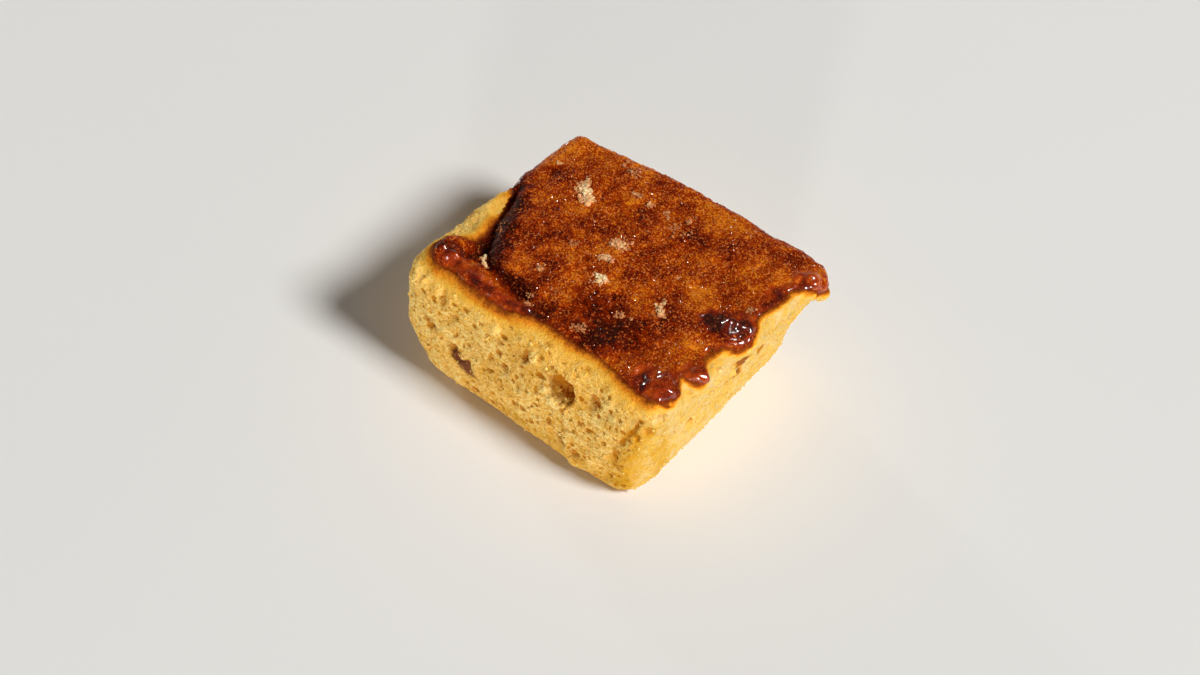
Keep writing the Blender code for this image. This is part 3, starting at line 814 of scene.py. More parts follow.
def sculpt_slab(slab, settings):
    """Raises and sinks the slab's points, and stores the masks that its material reads."""
    mesh = slab.data
    points, normals = points_and_normals(mesh)
    masks = slab_masks(points, normals)
    crust = smooth_step(*CRUMB_TO_CRUST, masks["browning"])
    crumb = 1.0 - crust
    pore, crags = crumb_relief(points, crumb, masks, settings)

    rise = crumb * (crags + masks["rim"] - masks["depth"]) - pore
    rise = rise + CRACK["rise"] * masks["crack"] + masks["filled"]
    rise += crust * crust_rise(points, masks["browning"], masks["gloss"], settings)
    rise += masks["notch"]
    above_floor = smooth_step(*HELD_BY_FLOOR, points[:, 2])
    moved = points + normals * (rise * above_floor)[:, None]
    moved[:, 2] = np.maximum(moved[:, 2], 0.0)
    mesh.vertices.foreach_set("co", (moved * MM).ravel())
    mesh.update()

    masks["crag"] = crags
    masks["pore"] = np.clip(pore / FULL_PORE, 0.0, 1.0)
    masks["rim"] = masks["rim"] + 0.3 * masks["wedge"]
    for name in SHADED_MASKS:
        keep_mask(mesh, name, masks[name])


# ---------------------------------------------- node helpers
def put(tree, source, socket):
    """Puts a number, a colour or another node's output into a socket."""
    if isinstance(source, bpy.types.NodeSocket):
        tree.links.new(source, socket)
    elif socket.type == "RGBA":
        socket.default_value = (*source, 1.0)
    else:
        socket.default_value = source


def calculate(tree, operation, *sources, clamp=False):
    """The result of a sum on numbers and sockets."""
    node = tree.nodes.new("ShaderNodeMath")
    node.operation = operation
    node.use_clamp = clamp
    for socket, source in zip(node.inputs, sources):
        put(tree, source, socket)
    return node.outputs[0]


def times(tree, first, second, clamp=False):
    """One value times another."""
    return calculate(tree, "MULTIPLY", first, second, clamp=clamp)


def plus(tree, value, share, base, clamp=False):
    """A base with a share of a value added to it."""
    return calculate(tree, "MULTIPLY_ADD", value, share, base, clamp=clamp)


def swayed(tree, base, pattern, share, clamp=False):
    """A base moved up and down by a share of a pattern that lies around 0.5."""
    return plus(tree, calculate(tree, "SUBTRACT", pattern, 0.5), share, base, clamp=clamp)


def between(tree, value, low, high, to_low=0.0, to_high=1.0, smooth=False):
    """Maps a value from low..high to to_low..to_high."""
    node = tree.nodes.new("ShaderNodeMapRange")
    node.interpolation_type = "SMOOTHSTEP" if smooth else "LINEAR"
    for name, source in (
        ("Value", value), ("From Min", low), ("From Max", high), ("To Min", to_low), ("To Max", to_high),
    ):
        put(tree, source, node.inputs[name])
    return node.outputs["Result"]


def mixed(tree, factor, first, second):
    """A mix of two colours."""
    node = tree.nodes.new("ShaderNodeMix")
    node.data_type = "RGBA"
    colors = [socket for socket in node.inputs if socket.type == "RGBA"]
    put(tree, factor, node.inputs["Factor"])
    put(tree, first, colors[0])
    put(tree, second, colors[1])
    return next(socket for socket in node.outputs if socket.type == "RGBA")


def mask(tree, name):
    """One of the masks stored on the points."""
    node = tree.nodes.new("ShaderNodeAttribute")
    node.attribute_name = name
    return node.outputs["Fac"]


def millimetres(tree):
    """The piece's own coordinates in millimetres."""
    coordinates = tree.nodes.new("ShaderNodeTexCoord")
    scale = tree.nodes.new("ShaderNodeVectorMath")
    scale.operation = "SCALE"
    scale.inputs["Scale"].default_value = 1.0 / MM
    tree.links.new(coordinates.outputs["Object"], scale.inputs[0])
    return scale.outputs["Vector"]


def noise_node(tree, vector, wave, detail=2.0, roughness=0.5, seed=0.0):
    """Noise from 0 to 1 whose bumps are about one wave apart, in millimetres."""
    node = tree.nodes.new("ShaderNodeTexNoise")
    node.noise_dimensions = "4D"
    node.inputs["W"].default_value = seed
    node.inputs["Scale"].default_value = 1.0 / wave
    node.inputs["Detail"].default_value = detail
    node.inputs["Roughness"].default_value = roughness
    tree.links.new(vector, node.inputs["Vector"])
    return node.outputs["Fac"]


def color_steps(tree, factor, steps):
    """A colour ramp with (place, colour) steps."""
    node = tree.nodes.new("ShaderNodeValToRGB")
    ramp = node.color_ramp
    while len(ramp.elements) < len(steps):
        ramp.elements.new(0.5)
    for element, (place, color) in zip(ramp.elements, steps):
        element.position = place
        element.color = (*color, 1.0)
    tree.links.new(factor, node.inputs["Fac"])
    return node.outputs["Color"]


def bump(tree, height, distance):
    """A normal bumped by a height from 0 to 1 that stands for that many millimetres."""
    node = tree.nodes.new("ShaderNodeBump")
    node.inputs["Distance"].default_value = distance * MM
    tree.links.new(height, node.inputs["Height"])
    return node.outputs["Normal"]


def new_material(name):
    """A new material with its nodes and its Principled shader."""
    material = bpy.data.materials.new(name)
    material.use_nodes = True
    return material, material.node_tree, material.node_tree.nodes["Principled BSDF"]


def group_named(name, inputs, outputs):
    """A new shader node group with its sockets, its start and its end."""
    group = bpy.data.node_groups.new(name, "ShaderNodeTree")
    for socket, kind in inputs:
        group.interface.new_socket(socket, in_out="INPUT", socket_type=kind)
    for socket, kind in outputs:
        group.interface.new_socket(socket, in_out="OUTPUT", socket_type=kind)
    return group, group.nodes.new("NodeGroupInput"), group.nodes.new("NodeGroupOutput")


def scaled(color, *factors):
    """A colour with each of its parts made larger or smaller."""
    return tuple(min(part * factor, 1.0) for part, factor in zip(color, factors))


# ---------------------------------------------- shared effects
def speckle_group():
    """Uneven grain: specks of random lightness, one size apart, and their height."""
    group, start, end = group_named(
        "Speckle",
        (("Vector", "NodeSocketVector"), ("Size", "NodeSocketFloat")),
        (("Light", "NodeSocketFloat"), ("Height", "NodeSocketFloat")),
    )
    cells = group.nodes.new("ShaderNodeTexVoronoi")
    group.links.new(start.outputs["Vector"], cells.inputs["Vector"])
    group.links.new(calculate(group, "DIVIDE", 1.0, start.outputs["Size"]), cells.inputs["Scale"])
    split = group.nodes.new("ShaderNodeSeparateColor")
    group.links.new(cells.outputs["Color"], split.inputs["Color"])
    group.links.new(split.outputs["Red"], end.inputs["Light"])
    height = between(group, cells.outputs["Distance"], 0.0, 0.8, 1.0, 0.0, smooth=True)
    group.links.new(height, end.inputs["Height"])
    return group


def speckle(tree, vector, size):
    """The lightness and the height of specks one size apart."""
    node = tree.nodes.new("ShaderNodeGroup")
    node.node_tree = bpy.data.node_groups.get("Speckle") or speckle_group()
    node.inputs["Size"].default_value = size
    tree.links.new(vector, node.inputs["Vector"])
    return node.outputs["Light"], node.outputs["Height"]


# ---------------------------------------------- the slab's surface
GLINT_COLOR = (0.74, 0.21, 0.045)  # of the lightest specks in the crust: partly paler sugar crystals, partly painted glints where crystals catch the light
UNDER_CLUMPS_COLOR = (0.5, 0.17, 0.04)  # of the crust under the pale clumps


def bubbles(tree, place, size, wobble):
    """Open bubbles of the crumb: 1 inside each, in most of the cells one size apart."""
    cells = tree.nodes.new("ShaderNodeTexVoronoi")
    cells.inputs["Scale"].default_value = 1.0 / size
    tree.links.new(place, cells.inputs["Vector"])
    split = tree.nodes.new("ShaderNodeSeparateColor")
    tree.links.new(cells.outputs["Color"], split.inputs["Color"])
    distance = swayed(tree, cells.outputs["Distance"], wobble, 0.9)
    radius = between(tree, split.outputs["Red"], 0.4, 1.0, 0.0, 0.3)
    return between(tree, calculate(tree, "SUBTRACT", radius, distance), 0.0, 0.16)


def crumb_ground(tree, place, patterns, settings):
    """Colour of the crumb: painted light on the crags that stand up and painted shade between them, a cream
    tone on the lit end that is partly a painted wash of its light, and gold where it is damp.
    """
    # Lightness follows the crags' height: painted light on their tops and painted shade, shade_color, in the
    # recesses between them; the pale rims lighten it too, and the noises add tone at random.
    raised = plus(tree, mask(tree, "crag"), 0.9, 0.55)
    for name, share in (("small", 1.2), ("wide", 1.0), ("fluff", 1.5), ("cell", 0.8)):
        raised = swayed(tree, raised, patterns[name], share)
    raised = plus(tree, mask(tree, "rim"), 1.2, raised, clamp=True)
    color = color_steps(tree, raised, (
        (0.1, tuple(settings.shade_color)), (0.45, tuple(settings.crumb_color)),
        (0.6, tuple(settings.crumb_color)), (0.95, tuple(settings.light_color)),
    ))
    lit_end = mask(tree, "lit_end")
    near_crust = between(tree, mask(tree, "browning"), -9.0, -2.0, 0.0, 0.5, smooth=True)
    near_crust = times(tree, near_crust, between(tree, lit_end, 0.0, 1.0, 1.0, 0.0))
    color = mixed(tree, near_crust, color, scaled(settings.light_color, 1.0, 0.74, 0.27))
    # The lit end's cream patches: partly its own tone, partly a painted wash of the strong light on it.
    cream = tuple(settings.lit_end_color)
    patch = noise_node(tree, place, 2.6, detail=3.0, roughness=0.6, seed=12.0)
    cream = color_steps(tree, patch, (
        (0.3, scaled(cream, 0.86, 0.72, 0.45)), (0.42, scaled(cream, 1.04, 0.9, 0.35)), (0.54, cream),
        (0.7, scaled(cream, 1.02, 1.12, 1.6)),
    ))
    color = mixed(tree, times(tree, lit_end, 0.75), color, cream)
    return mixed(tree, times(tree, mask(tree, "gold"), 0.85), color, settings.gold_color)


def crumb_look(tree, place, settings):
    """Colour and height of the open crumb."""
    patterns = {
        "wide": noise_node(tree, place, 6.0, seed=2.0),
        "small": noise_node(tree, place, 1.3, detail=3.0, roughness=0.6, seed=3.0),
        "fluff": noise_node(tree, place, 0.45, detail=2.0, roughness=0.6, seed=4.0),
    }
    patterns["cell"], cell_height = speckle(tree, place, 0.42)
    small, fluff = patterns["small"], patterns["fluff"]
    color = crumb_ground(tree, place, patterns, settings)

    lit_end = mask(tree, "lit_end")
    open_part = between(tree, lit_end, 0.0, 1.0, 1.0, 0.2)
    open_part = times(tree, open_part, between(tree, mask(tree, "browning"), -5.0, -2.0, 1.0, 0.0))
    # Pores and pits take hollow_color: painted shade, darker and more saturated where shade and bounced
    # light fall inside them.
    pits = calculate(tree, "MAXIMUM", bubbles(tree, place, 1.3, fluff), bubbles(tree, place, 0.75, small))
    pits = times(tree, pits, open_part)
    sunken = between(tree, swayed(tree, mask(tree, "pore"), small, 0.35), 0.1, 0.45, 0.0, 0.85)
    hollow = calculate(tree, "MAXIMUM", sunken, times(tree, pits, 0.3))
    hollow = times(tree, hollow, between(tree, lit_end, 0.0, 1.0, 1.0, 0.5))
    color = mixed(tree, hollow, color, settings.hollow_color)

    uneven = between(tree, small, 0.3, 0.6, 0.8, 1.0)
    # Holes and the crack take hollow_color too, as painted shade inside them; above 1.1 they darken further
    # towards bruise_color.
    hole = mask(tree, "hole")
    color = mixed(tree, times(tree, hole, uneven, clamp=True), color, settings.hollow_color)
    color = mixed(tree, between(tree, hole, 1.1, 1.7, 0.0, 0.85), color, settings.bruise_color)
    bruise = times(tree, mask(tree, "bruise"), uneven, clamp=True)
    color = mixed(tree, times(tree, bruise, 0.95), color, settings.bruise_color)
    skin_color = scaled(settings.crumb_color, 0.86, 0.74, 0.5)
    color = mixed(tree, times(tree, mask(tree, "skin"), 0.6), color, skin_color)
    height = plus(tree, cell_height, 0.08, plus(tree, fluff, 0.4, times(tree, small, 0.3)))
    return color, plus(tree, pits, -0.15, height)


def crust_look(tree, place, settings):
    """Colour and height of the browned, sugared crust."""
    wide = noise_node(tree, place, 7.0, detail=2.0, seed=6.0)
    blotch = noise_node(tree, place, 2.2, detail=3.0, roughness=0.6, seed=7.0)
    grain = noise_node(tree, place, 0.36, detail=2.0, roughness=0.7, seed=8.0)
    crystal, crystal_height = speckle(tree, place, 0.36)
    scorch = mask(tree, "scorch")
    rough_part = between(tree, mask(tree, "gloss"), 0.2, 1.0, 1.0, 0.3)
    rough_part = times(tree, rough_part, between(tree, scorch, 0.3, 1.4, 1.0, 0.55))
    baked = swayed(tree, swayed(tree, 0.52, wide, 1.4), blotch, 1.0)
    baked = plus(tree, mask(tree, "amber"), 0.22, plus(tree, scorch, -0.42, baked), clamp=True)
    specks = plus(tree, calculate(tree, "POWER", grain, 2.5), 2.1, -0.38)
    specks = calculate(tree, "MAXIMUM", specks, -0.1)
    specks = calculate(tree, "ADD", specks, between(tree, crystal, 0.55, 1.0, -0.06, 0.4))
    baked = plus(tree, specks, rough_part, baked, clamp=True)
    crust = tuple(settings.crust_color)
    color = color_steps(tree, baked, (
        (0.0, tuple(settings.scorch_color)), (0.25, scaled(crust, 0.4, 0.24, 1.0)), (0.5, crust),
        (0.75, scaled(crust, 1.5, 2.2, 5.0)), (1.0, tuple(settings.amber_color)),
    ))
    # Painted glints: the lightest crystal cells take GLINT_COLOR, partly paler crystals and partly colour
    # that stands in for their sparkle.
    glint = times(tree, between(tree, crystal, 0.86, 1.0, 0.0, 0.8), rough_part)
    color = mixed(tree, glint, color, GLINT_COLOR)
    clinging = mask(tree, "pale")
    frayed = calculate(tree, "ADD", clinging, plus(tree, blotch, 1.6, -0.95))
    frayed = between(tree, frayed, 0.35, 0.85, smooth=True)
    pale = times(tree, frayed, between(tree, clinging, 0.04, 0.3))
    color = mixed(tree, times(tree, pale, 0.6), color, UNDER_CLUMPS_COLOR)
    height = plus(tree, crystal_height, 0.08, times(tree, grain, 0.35))
    return color, times(tree, height, rough_part)


def surface_group(settings):
    """The slab's whole surface: crumb, the browned edge and the crust, from the masks on its points."""
    group, start, end = group_named(
        "Cake surface",
        (("Place", "NodeSocketVector"),),
        (("Color", "NodeSocketColor"), ("Roughness", "NodeSocketFloat"),
         ("Coat", "NodeSocketFloat"), ("Height", "NodeSocketFloat")),
    )
    place = start.outputs["Place"]
    fray = noise_node(group, place, 1.0, detail=4.0, roughness=0.7, seed=1.0)
    brown_at = swayed(group, mask(group, "browning"), fray, 2.0)
    crumb_color, crumb_height = crumb_look(group, place, settings)
    crust_color, crust_height = crust_look(group, place, settings)
    rind = tuple(settings.rind_color)
    toasted = color_steps(group, between(group, brown_at, -3.0, 1.0), (
        (0.25, rind), (0.5, scaled(rind, 0.84, 0.56, 0.4)), (0.64, scaled(rind, 0.46, 0.23, 0.2)),
        (0.8, tuple(settings.edge_color)),
    ))
    warm = between(group, brown_at, -3.4, -1.0, smooth=True)
    color = mixed(group, warm, crumb_color, toasted)
    in_crust = between(group, brown_at, -0.1, 1.1, smooth=True)
    color = mixed(group, in_crust, color, crust_color)
    gloss = mask(group, "gloss")
    roughness = between(group, in_crust, 0.0, 1.0, 0.85, 0.5)
    roughness = plus(group, gloss, -0.2, roughness, clamp=True)
    crumb_height = times(group, crumb_height, between(group, brown_at, -0.6, 0.4, 1.0, 0.0))
    height = plus(group, crust_height, in_crust, crumb_height)
    glazed = between(group, mask(group, "scorch"), 0.3, 1.1, 0.25, 0.0)
    coat = calculate(group, "MAXIMUM", gloss, times(group, in_crust, glazed))
    for name, value in (("Color", color), ("Roughness", roughness), ("Coat", coat), ("Height", height)):
        group.links.new(value, end.inputs[name])
    return group


def surface_material(name, group):
    """A material that shows the slab's surface group; its own sockets are left to the caller."""
    material, tree, shader = new_material(name)
    surface = tree.nodes.new("ShaderNodeGroup")
    surface.node_tree = group
    tree.links.new(millimetres(tree), surface.inputs["Place"])
    tree.links.new(surface.outputs["Color"], shader.inputs["Base Color"])
    tree.links.new(surface.outputs["Roughness"], shader.inputs["Roughness"])
    tree.links.new(bump(tree, surface.outputs["Height"], 1.0), shader.inputs["Normal"])
    return material, tree, shader, surface


def let_light_in(shader, depth):
    """Lets light soak a little way into crumb, red furthest."""
    shader.inputs["Subsurface Weight"].default_value = 0.35
    shader.inputs["Subsurface Radius"].default_value = (1.0, 0.65, 0.3)
    shader.inputs["Subsurface Scale"].default_value = depth * MM


def crumb_material(group):
    """Matt crumb, with a little light in it."""
    material, _, shader, _ = surface_material("open crumb", group)
    shader.inputs["Specular IOR Level"].default_value = 0.03
    let_light_in(shader, 0.7)
    return material


def crust_material(group):
    """Browned sugar under a coat of caramel, which is thick where it shines."""
    material, tree, shader, surface = surface_material("caramelised crust", group)
    shader.inputs["Specular IOR Level"].default_value = 0.02
    shader.inputs["Coat Roughness"].default_value = 0.17
    shader.inputs["Coat IOR"].default_value = 1.8
    tree.links.new(surface.outputs["Coat"], shader.inputs["Coat Weight"])
    return material


def finish_slab(slab, settings):
    """Puts the crumb's material on the slab, and the crust's where it has browned."""
    mesh = slab.data
    group = surface_group(settings)
    mesh.materials.clear()
    mesh.materials.append(crumb_material(group))
    mesh.materials.append(crust_material(group))
    in_crust = mask_of(mesh, "browning")[first_points(mesh)] > 0.5
    mesh.polygons.foreach_set("material_index", in_crust.astype(np.int32))
    mesh.polygons.foreach_set("use_smooth", np.ones(len(mesh.polygons), bool))
    mesh.update()


# ---------------------------------------------- what lies on the slab
BATCH = 100  # grains made at a time
SPOT_SHIFT = 0.2  # how far a grain may lie from the middle of its facet, each way


def spots_on(mesh, weight, count, seed):
    """Centres and normals, in millimetres, of faces picked at random by their area times their weight."""
    faces = len(mesh.polygons)
    centres, normals, areas = np.empty(faces * 3), np.empty(faces * 3), np.empty(faces)
    mesh.polygons.foreach_get("center", centres)
    mesh.polygons.foreach_get("normal", normals)
    mesh.polygons.foreach_get("area", areas)
    chance = areas * weight[first_points(mesh)]
    picked = np.random.default_rng(seed).choice(faces, size=count, p=chance / chance.sum())
    shift = np.random.default_rng(seed + 1).uniform(-SPOT_SHIFT, SPOT_SHIFT, (count, 3))
    return centres.reshape(-1, 3)[picked] / MM + shift, normals.reshape(-1, 3)[picked]


def grain_matrix(grain, stretch, rng):
    """Places a ball of radius 1 as a grain: stretched and turned at random."""
    turn = Vector([rng.gauss(0.0, 1.0) for _ in range(3)]).normalized()
    rotation = Matrix.Rotation(rng.uniform(0.0, math.tau), 4, turn)
    sizes = [grain["radius"] * MM * rng.uniform(1.0 - stretch, 1.0 + stretch) for _ in range(3)]
    return Matrix.Translation(Vector(grain["at"]) * MM) @ rotation @ Matrix.Diagonal((*sizes, 1.0))


def grains_mesh(name, matrices, detail, rough, rng):
    """One mesh of knobbly balls, made in batches because each operator visits the whole of its batch."""
    joined = bmesh.new()
    for start in range(0, len(matrices), BATCH):
        batch = bmesh.new()
        for matrix in matrices[start:start + BATCH]:
            ball = bmesh.ops.create_icosphere(batch, subdivisions=detail, radius=1.0, matrix=matrix)
            for vertex in ball["verts"]:
                vertex.co = vertex.co.lerp(matrix.translation, rng.uniform(0.0, rough))
        part = mesh_of(batch, name)
        joined.from_mesh(part)
        bpy.data.meshes.remove(part)
    return mesh_of(joined, name)


def scattered(name, grains, detail, stretch, rough, seed):
    """A piece of many grains, each with its place, radius and tint."""
    rng = random.Random(seed)
    matrices = [grain_matrix(grain, stretch, rng) for grain in grains]
    mesh = grains_mesh(name, matrices, detail, rough, rng)
    each = len(mesh.vertices) // len(grains)
    keep_mask(mesh, "tint", np.repeat([grain["tint"] for grain in grains], each))
    piece = in_scene(name, mesh)
    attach(piece, BODY)
    return piece


def tinted_material(name, steps, roughness, wave):
    """A material whose colour follows each grain's tint, with a little unevenness of its own."""
    material, tree, shader = new_material(name)
    uneven = noise_node(tree, millimetres(tree), wave, seed=9.0)
    tint = swayed(tree, mask(tree, "tint"), uneven, 0.5, clamp=True)
    tree.links.new(color_steps(tree, tint, steps), shader.inputs["Base Color"])
    rough = between(tree, uneven, 0.2, 0.8, roughness - 0.08, roughness + 0.08)
    tree.links.new(rough, shader.inputs["Roughness"])
    tree.links.new(bump(tree, uneven, 0.1), shader.inputs["Normal"])
    return material, shader


def made_slab():
    """The slab's own piece, which carries the masks that the small pieces follow."""
    slab = bpy.data.objects.get("sponge_slab")
    if slab is None:
        raise RuntimeError("make the slab first")
    return slab


# ---------------------------------------------- the stage
LIT_POINT = (0.0, 0.0, 0.01)
WARM_WHITE = (1.0, 0.99, 0.97)
LIGHTS = rows_of(
    "name azimuth elevation distance size color",
    ("key", 14.0, 46.0, 6.8, 2.0, (1.0, 0.992, 0.975)),
    ("fill", -60.0, 4.4, 2.4, 0.36, WARM_WHITE),
    ("rim", 165.0, 3.2, 2.2, 0.22, WARM_WHITE),
)
FLOOR = {"half": 3.0, "under": 0.03 * MM, "clouds": 180.0}
LENS = {"lens": 85.0, "sensor_width": 36.0, "clip_start": 0.01, "clip_end": 20.0}


def toward(azimuth, elevation):
    """The direction at degrees from +X towards +Y, and above the floor."""
    turn, rise = math.radians(azimuth), math.radians(elevation)
    return Vector((math.cos(rise) * math.cos(turn), math.cos(rise) * math.sin(turn), math.sin(rise)))


def add_light(light, power):
    """A soft round light that shines on the slab from its direction."""
    lamp = bpy.data.lights.new(light["name"], "AREA")
    lamp.shape = "DISK"
    lamp.size = light["size"]
    lamp.energy = power
    lamp.color = light["color"]
    direction = toward(light["azimuth"], light["elevation"])
    placed = in_scene(light["name"], lamp)
    placed.location = Vector(LIT_POINT) + direction * light["distance"]
    placed.rotation_euler = direction.to_track_quat("Z", "Y").to_euler()


def add_floor(settings):
    """A pale floor, a hair's breadth under the slab."""
    bm = bmesh.new()
    bmesh.ops.create_grid(bm, x_segments=1, y_segments=1, size=FLOOR["half"])
    bmesh.ops.translate(bm, vec=(0.0, 0.0, -FLOOR["under"]), verts=bm.verts)
    mesh = mesh_of(bm, "floor")
    material, tree, shader = new_material("pale floor")
    cloudy = noise_node(tree, millimetres(tree), FLOOR["clouds"], seed=5.0)
    pale = tuple(settings.floor_color)
    color = color_steps(tree, cloudy, ((0.3, scaled(pale, 0.985, 0.985, 0.985)), (0.7, pale)))
    tree.links.new(color, shader.inputs["Base Color"])
    shader.inputs["Roughness"].default_value = 0.6
    shader.inputs["Specular IOR Level"].default_value = 0.1
    mesh.materials.append(material)
    in_scene("floor", mesh)


def add_camera(settings):
    """A camera turned round its target and tilted about its own axis."""
    back = Vector((
        math.sin(settings.azimuth) * math.cos(settings.elevation),
        -math.cos(settings.azimuth) * math.cos(settings.elevation),
        math.sin(settings.elevation),
    ))
    camera = in_scene("camera", bpy.data.cameras.new("camera"))
    for name, value in LENS.items():
        setattr(camera.data, name, value)
    level = Vector((math.cos(settings.azimuth), math.sin(settings.azimuth), 0.0))
    up = back.cross(level)
    right = level * math.cos(settings.roll) + up * math.sin(settings.roll)
    up = back.cross(right)
    turn = Matrix((right, up, back)).transposed().to_4x4()
    camera.matrix_world = Matrix.Translation(Vector(settings.target) + back * settings.distance) @ turn
    bpy.context.scene.camera = camera


# ---------------------------------------------- operators
class SpongeSlab(bpy.types.Operator):
    """Make the slab: crumb, pores, holes and crust"""

    bl_idname = "sponge_cake.slab"
    bl_label = "Slab"

    def execute(self, context):
        settings = context.scene.sponge_slab
        slab = smooth_quads()
        sculpt_slab(slab, settings)
        finish_slab(slab, settings)
        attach(slab, BODY)
        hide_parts(NODE)
        return {"FINISHED"}


class SugarGrains(bpy.types.Operator):
    """Strew the crust with sugar grains"""

    bl_idname = "sponge_cake.sugar_grains"
    bl_label = "Sugar grains"

    def execute(self, context):
        settings = context.scene.sponge_grains
        mesh = made_slab().data
        upward = points_and_normals(mesh)[1][:, 2]
        scorched = np.clip(mask_of(mesh, "scorch"), 0.0, 1.0)
        weight = smooth_step(*SUGARED_FROM, mask_of(mesh, "browning"))
        weight = lessened(weight, (0.75, mask_of(mesh, "gloss")), (0.45, scorched))
        weight = weight * smooth_step(*LYING_FLAT, upward)
        centres, normals = spots_on(mesh, weight, settings.sugar_count, seed=11)
        rng = random.Random(13)
        grains = []
        burnt = np.clip(spread(SCORCHED, centres[:, :2], 0.0), 0.0, 1.0)
        for centre, normal, dark in zip(centres, normals, burnt):
            radius = settings.sugar_radius / MM * rng.uniform(0.6, 1.35)
            sunk = radius * rng.uniform(0.1, 0.6)
            tint = (0.42 + 0.58 * rng.random() ** 1.5) * (1.0 - 0.75 * dark)
            grains.append({"at": centre - normal * sunk, "radius": radius, "tint": tint})
        piece = scattered("sugar_grains", grains, detail=1, stretch=0.25, rough=0.3, seed=17)
        material, shader = tinted_material(
            "sugar grains",
            ((0.0, (0.05, 0.006, 0.001)), (0.25, (0.26, 0.024, 0.001)), (0.65, (0.5, 0.08, 0.004)),
             (1.0, (0.9, 0.32, 0.09))), 0.3, 0.5,
        )
        shader.inputs["Specular IOR Level"].default_value = 0.1
        shader.inputs["Coat Weight"].default_value = 0.7
        shader.inputs["Coat Roughness"].default_value = 0.08
        shader.inputs["Coat IOR"].default_value = 2.0
        piece.data.materials.append(material)
        return {"FINISHED"}


class PaleClumps(bpy.types.Operator):
    """Heap pale grains of sugar and crumb on the crust"""

    bl_idname = "sponge_cake.pale_clumps"
    bl_label = "Pale clumps"

    def execute(self, context):
        settings = context.scene.sponge_grains
        mesh = made_slab().data
        points, _ = points_and_normals(mesh)
        heaped = spread(PALE_CLUMPS, points[:, :2], 1.6 * waves(points, 1.3, seed=113.0))
        weight = np.clip(heaped, 0.0, 1.2) ** 1.5
        weight = weight * smooth_step(*CLUMPED_FROM, mask_of(mesh, "browning"))
        centres, normals = spots_on(mesh, weight, settings.clump_grains, seed=19)
        places = centres[:, :2]
        heaps = np.array([mark["much"] * strength(mark, places, 0.0) for mark in PALE_CLUMPS])
        light = np.array([mark["light"] for mark in PALE_CLUMPS])[heaps.argmax(axis=0)]
        heap = np.clip(heaps.max(axis=0), 0.0, 1.0)
        rng = random.Random(23)
        grains = []
        for centre, normal, high, pale in zip(centres, normals, heap, light):
            radius = settings.clump_radius / MM * rng.lognormvariate(0.0, 0.35)
            lift = radius * rng.uniform(-0.3, 0.8) * high
            tint = pale * (0.45 + 0.55 * high) * rng.uniform(0.6, 1.2)
            grains.append({"at": centre + normal * lift, "radius": radius, "tint": tint})
        piece = scattered("pale_clumps", grains, detail=2, stretch=0.35, rough=0.35, seed=29)
        material, shader = tinted_material(
            "pale sugar and crumb",
            ((0.0, (0.3, 0.06, 0.005)), (0.35, (0.72, 0.3, 0.11)), (0.65, (0.97, 0.55, 0.25)),
             (0.98, (1.0, 0.8, 0.46))), 0.5, 0.5,
        )
        shader.inputs["Specular IOR Level"].default_value = 0.25
        let_light_in(shader, 0.4)
        piece.data.materials.append(material)
        return {"FINISHED"}


class LooseCrumbs(bpy.types.Operator):
    """Let small crumbs cling to the torn sides"""

    bl_idname = "sponge_cake.loose_crumbs"
    bl_label = "Loose crumbs"

    def execute(self, context):
        settings = context.scene.sponge_grains
        mesh = made_slab().data
        points, _ = points_and_normals(mesh)
        brown_at = mask_of(mesh, "browning")
        hollow = np.clip(mask_of(mesh, "pore") + mask_of(mesh, "hole"), 0.0, 1.0)
        weight = lessened(
            1.0,
            (0.8, smooth_step(*FEW_CRUMBS_FROM, brown_at)), (1.0, smooth_step(*NO_CRUMBS_FROM, brown_at)),
            (0.8, mask_of(mesh, "skin")), (0.8, hollow),
        )
        weight = weight * (0.3 + 2.0 * np.clip(mask_of(mesh, "rim"), 0.0, 0.5))
        weight = weight * (1.0 + mask_of(mesh, "lit_end"))
        weight = lessened(weight, (0.6, mask_of(mesh, "gold")))
        weight = weight * smooth_step(*CRUMBS_CLING_FROM, points[:, 2])
        centres, normals = spots_on(mesh, weight, settings.crumb_count, seed=31)
        rng = random.Random(37)
        grains = []
        for centre, normal in zip(centres, normals):
            radius = settings.crumb_radius / MM * rng.lognormvariate(0.0, 0.45)
            lift = radius * rng.uniform(-0.7, 0.1)
            # Crumbs on the lit end take its cream colour, partly a painted wash of the light on it.
            at_end = 0.3 if normal[0] > 0.8 else 0.0
            tint = rng.uniform(0.3, 0.85) - at_end
            grains.append({"at": centre + normal * lift, "radius": radius, "tint": tint})
        piece = scattered("loose_crumbs", grains, detail=1, stretch=0.35, rough=0.4, seed=41)
        colors = context.scene.sponge_slab
        material, shader = tinted_material(
            "clinging crumb",
            ((0.1, tuple(colors.lit_end_color)), (0.3, scaled(colors.crumb_color, 0.92, 0.86, 0.8)),
             (0.6, tuple(colors.crumb_color)), (1.0, tuple(colors.light_color))), 0.8, 0.6,
        )
        shader.inputs["Specular IOR Level"].default_value = 0.2
        let_light_in(shader, 1.0)
        piece.data.materials.append(material)
        return {"FINISHED"}


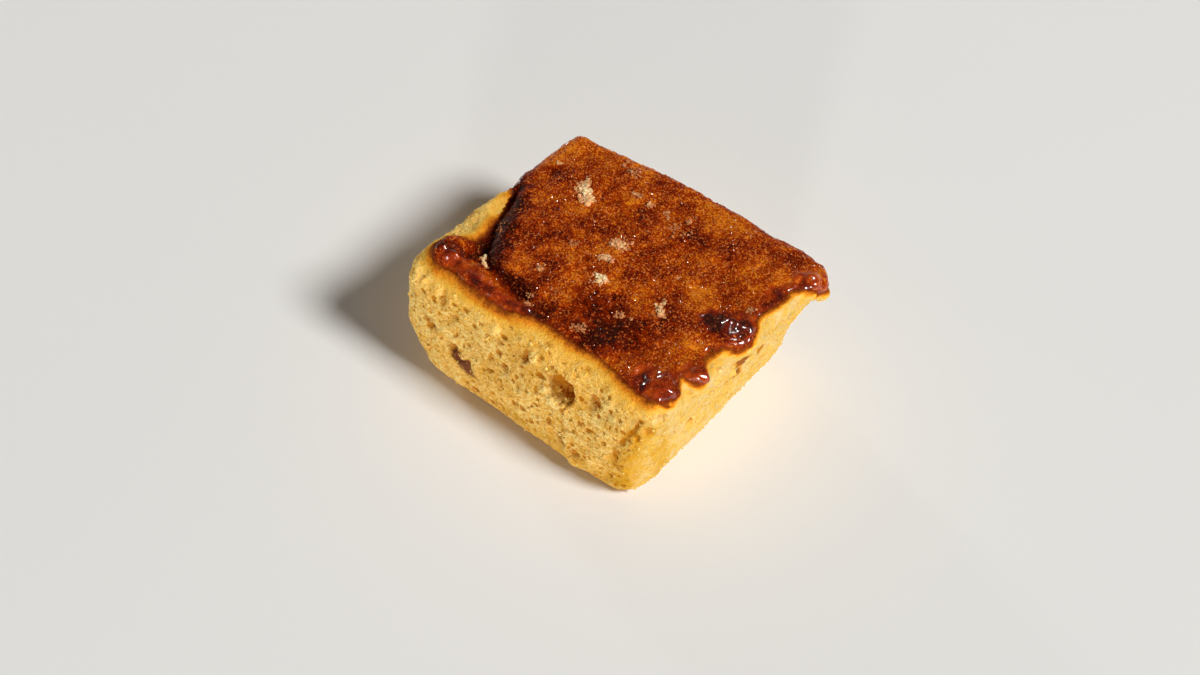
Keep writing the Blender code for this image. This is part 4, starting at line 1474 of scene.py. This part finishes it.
class Stage(bpy.types.Operator):
    """Set the camera, the soft lights and the pale floor"""

    bl_idname = "sponge_cake.stage"
    bl_label = "Stage"

    def execute(self, context):
        settings = context.scene.sponge_stage
        add_floor(settings)
        add_camera(settings)
        for light, power in zip(LIGHTS, (settings.key_power, settings.fill_power, settings.rim_power)):
            add_light(light, power)
        world = bpy.data.worlds.new("soft room")
        world.use_nodes = True
        background = world.node_tree.nodes["Background"]
        background.inputs["Color"].default_value = (*WARM_WHITE, 1.0)
        background.inputs["Strength"].default_value = settings.room_light
        context.scene.world = world
        context.scene.view_settings.view_transform = "Standard"
        return {"FINISHED"}


class SpongeCakePanel(bpy.types.Panel):
    """Sizes, colours and buttons for the slab"""

    bl_idname = "VIEW3D_PT_sponge_cake"
    bl_label = "Sponge cake"
    bl_space_type = "VIEW_3D"
    bl_region_type = "UI"
    bl_category = "Sponge cake"

    def draw(self, context):
        for settings, operators in (
            (context.scene.sponge_slab, (SpongeSlab,)),
            (context.scene.sponge_grains, (SugarGrains, PaleClumps, LooseCrumbs)),
            (context.scene.sponge_stage, (Stage,)),
        ):
            box = self.layout.box()
            for name in settings.__annotations__:
                box.prop(settings, name)
            for operator in operators:
                box.operator(operator.bl_idname)


SETTINGS = {"sponge_slab": SlabSettings, "sponge_grains": GrainSettings, "sponge_stage": StageSettings}
OPERATORS = (SpongeSlab, SugarGrains, PaleClumps, LooseCrumbs, Stage)


def register():
    """Registers the settings, the operators and the panel."""
    for cls in (*SETTINGS.values(), *OPERATORS, SpongeCakePanel):
        bpy.utils.register_class(cls)
    for name, cls in SETTINGS.items():
        setattr(bpy.types.Scene, name, bpy.props.PointerProperty(type=cls))


def unregister():
    """Takes back what register did."""
    for name in SETTINGS:
        delattr(bpy.types.Scene, name)
    for cls in reversed((*SETTINGS.values(), *OPERATORS, SpongeCakePanel)):
        bpy.utils.unregister_class(cls)


def main():
    """Makes the pieces and the stage, in order."""
    register()
    bpy.ops.sponge_cake.slab()
    bpy.ops.sponge_cake.sugar_grains()
    bpy.ops.sponge_cake.pale_clumps()
    bpy.ops.sponge_cake.loose_crumbs()
    bpy.ops.sponge_cake.stage()


if __name__ == "__main__":
    main()
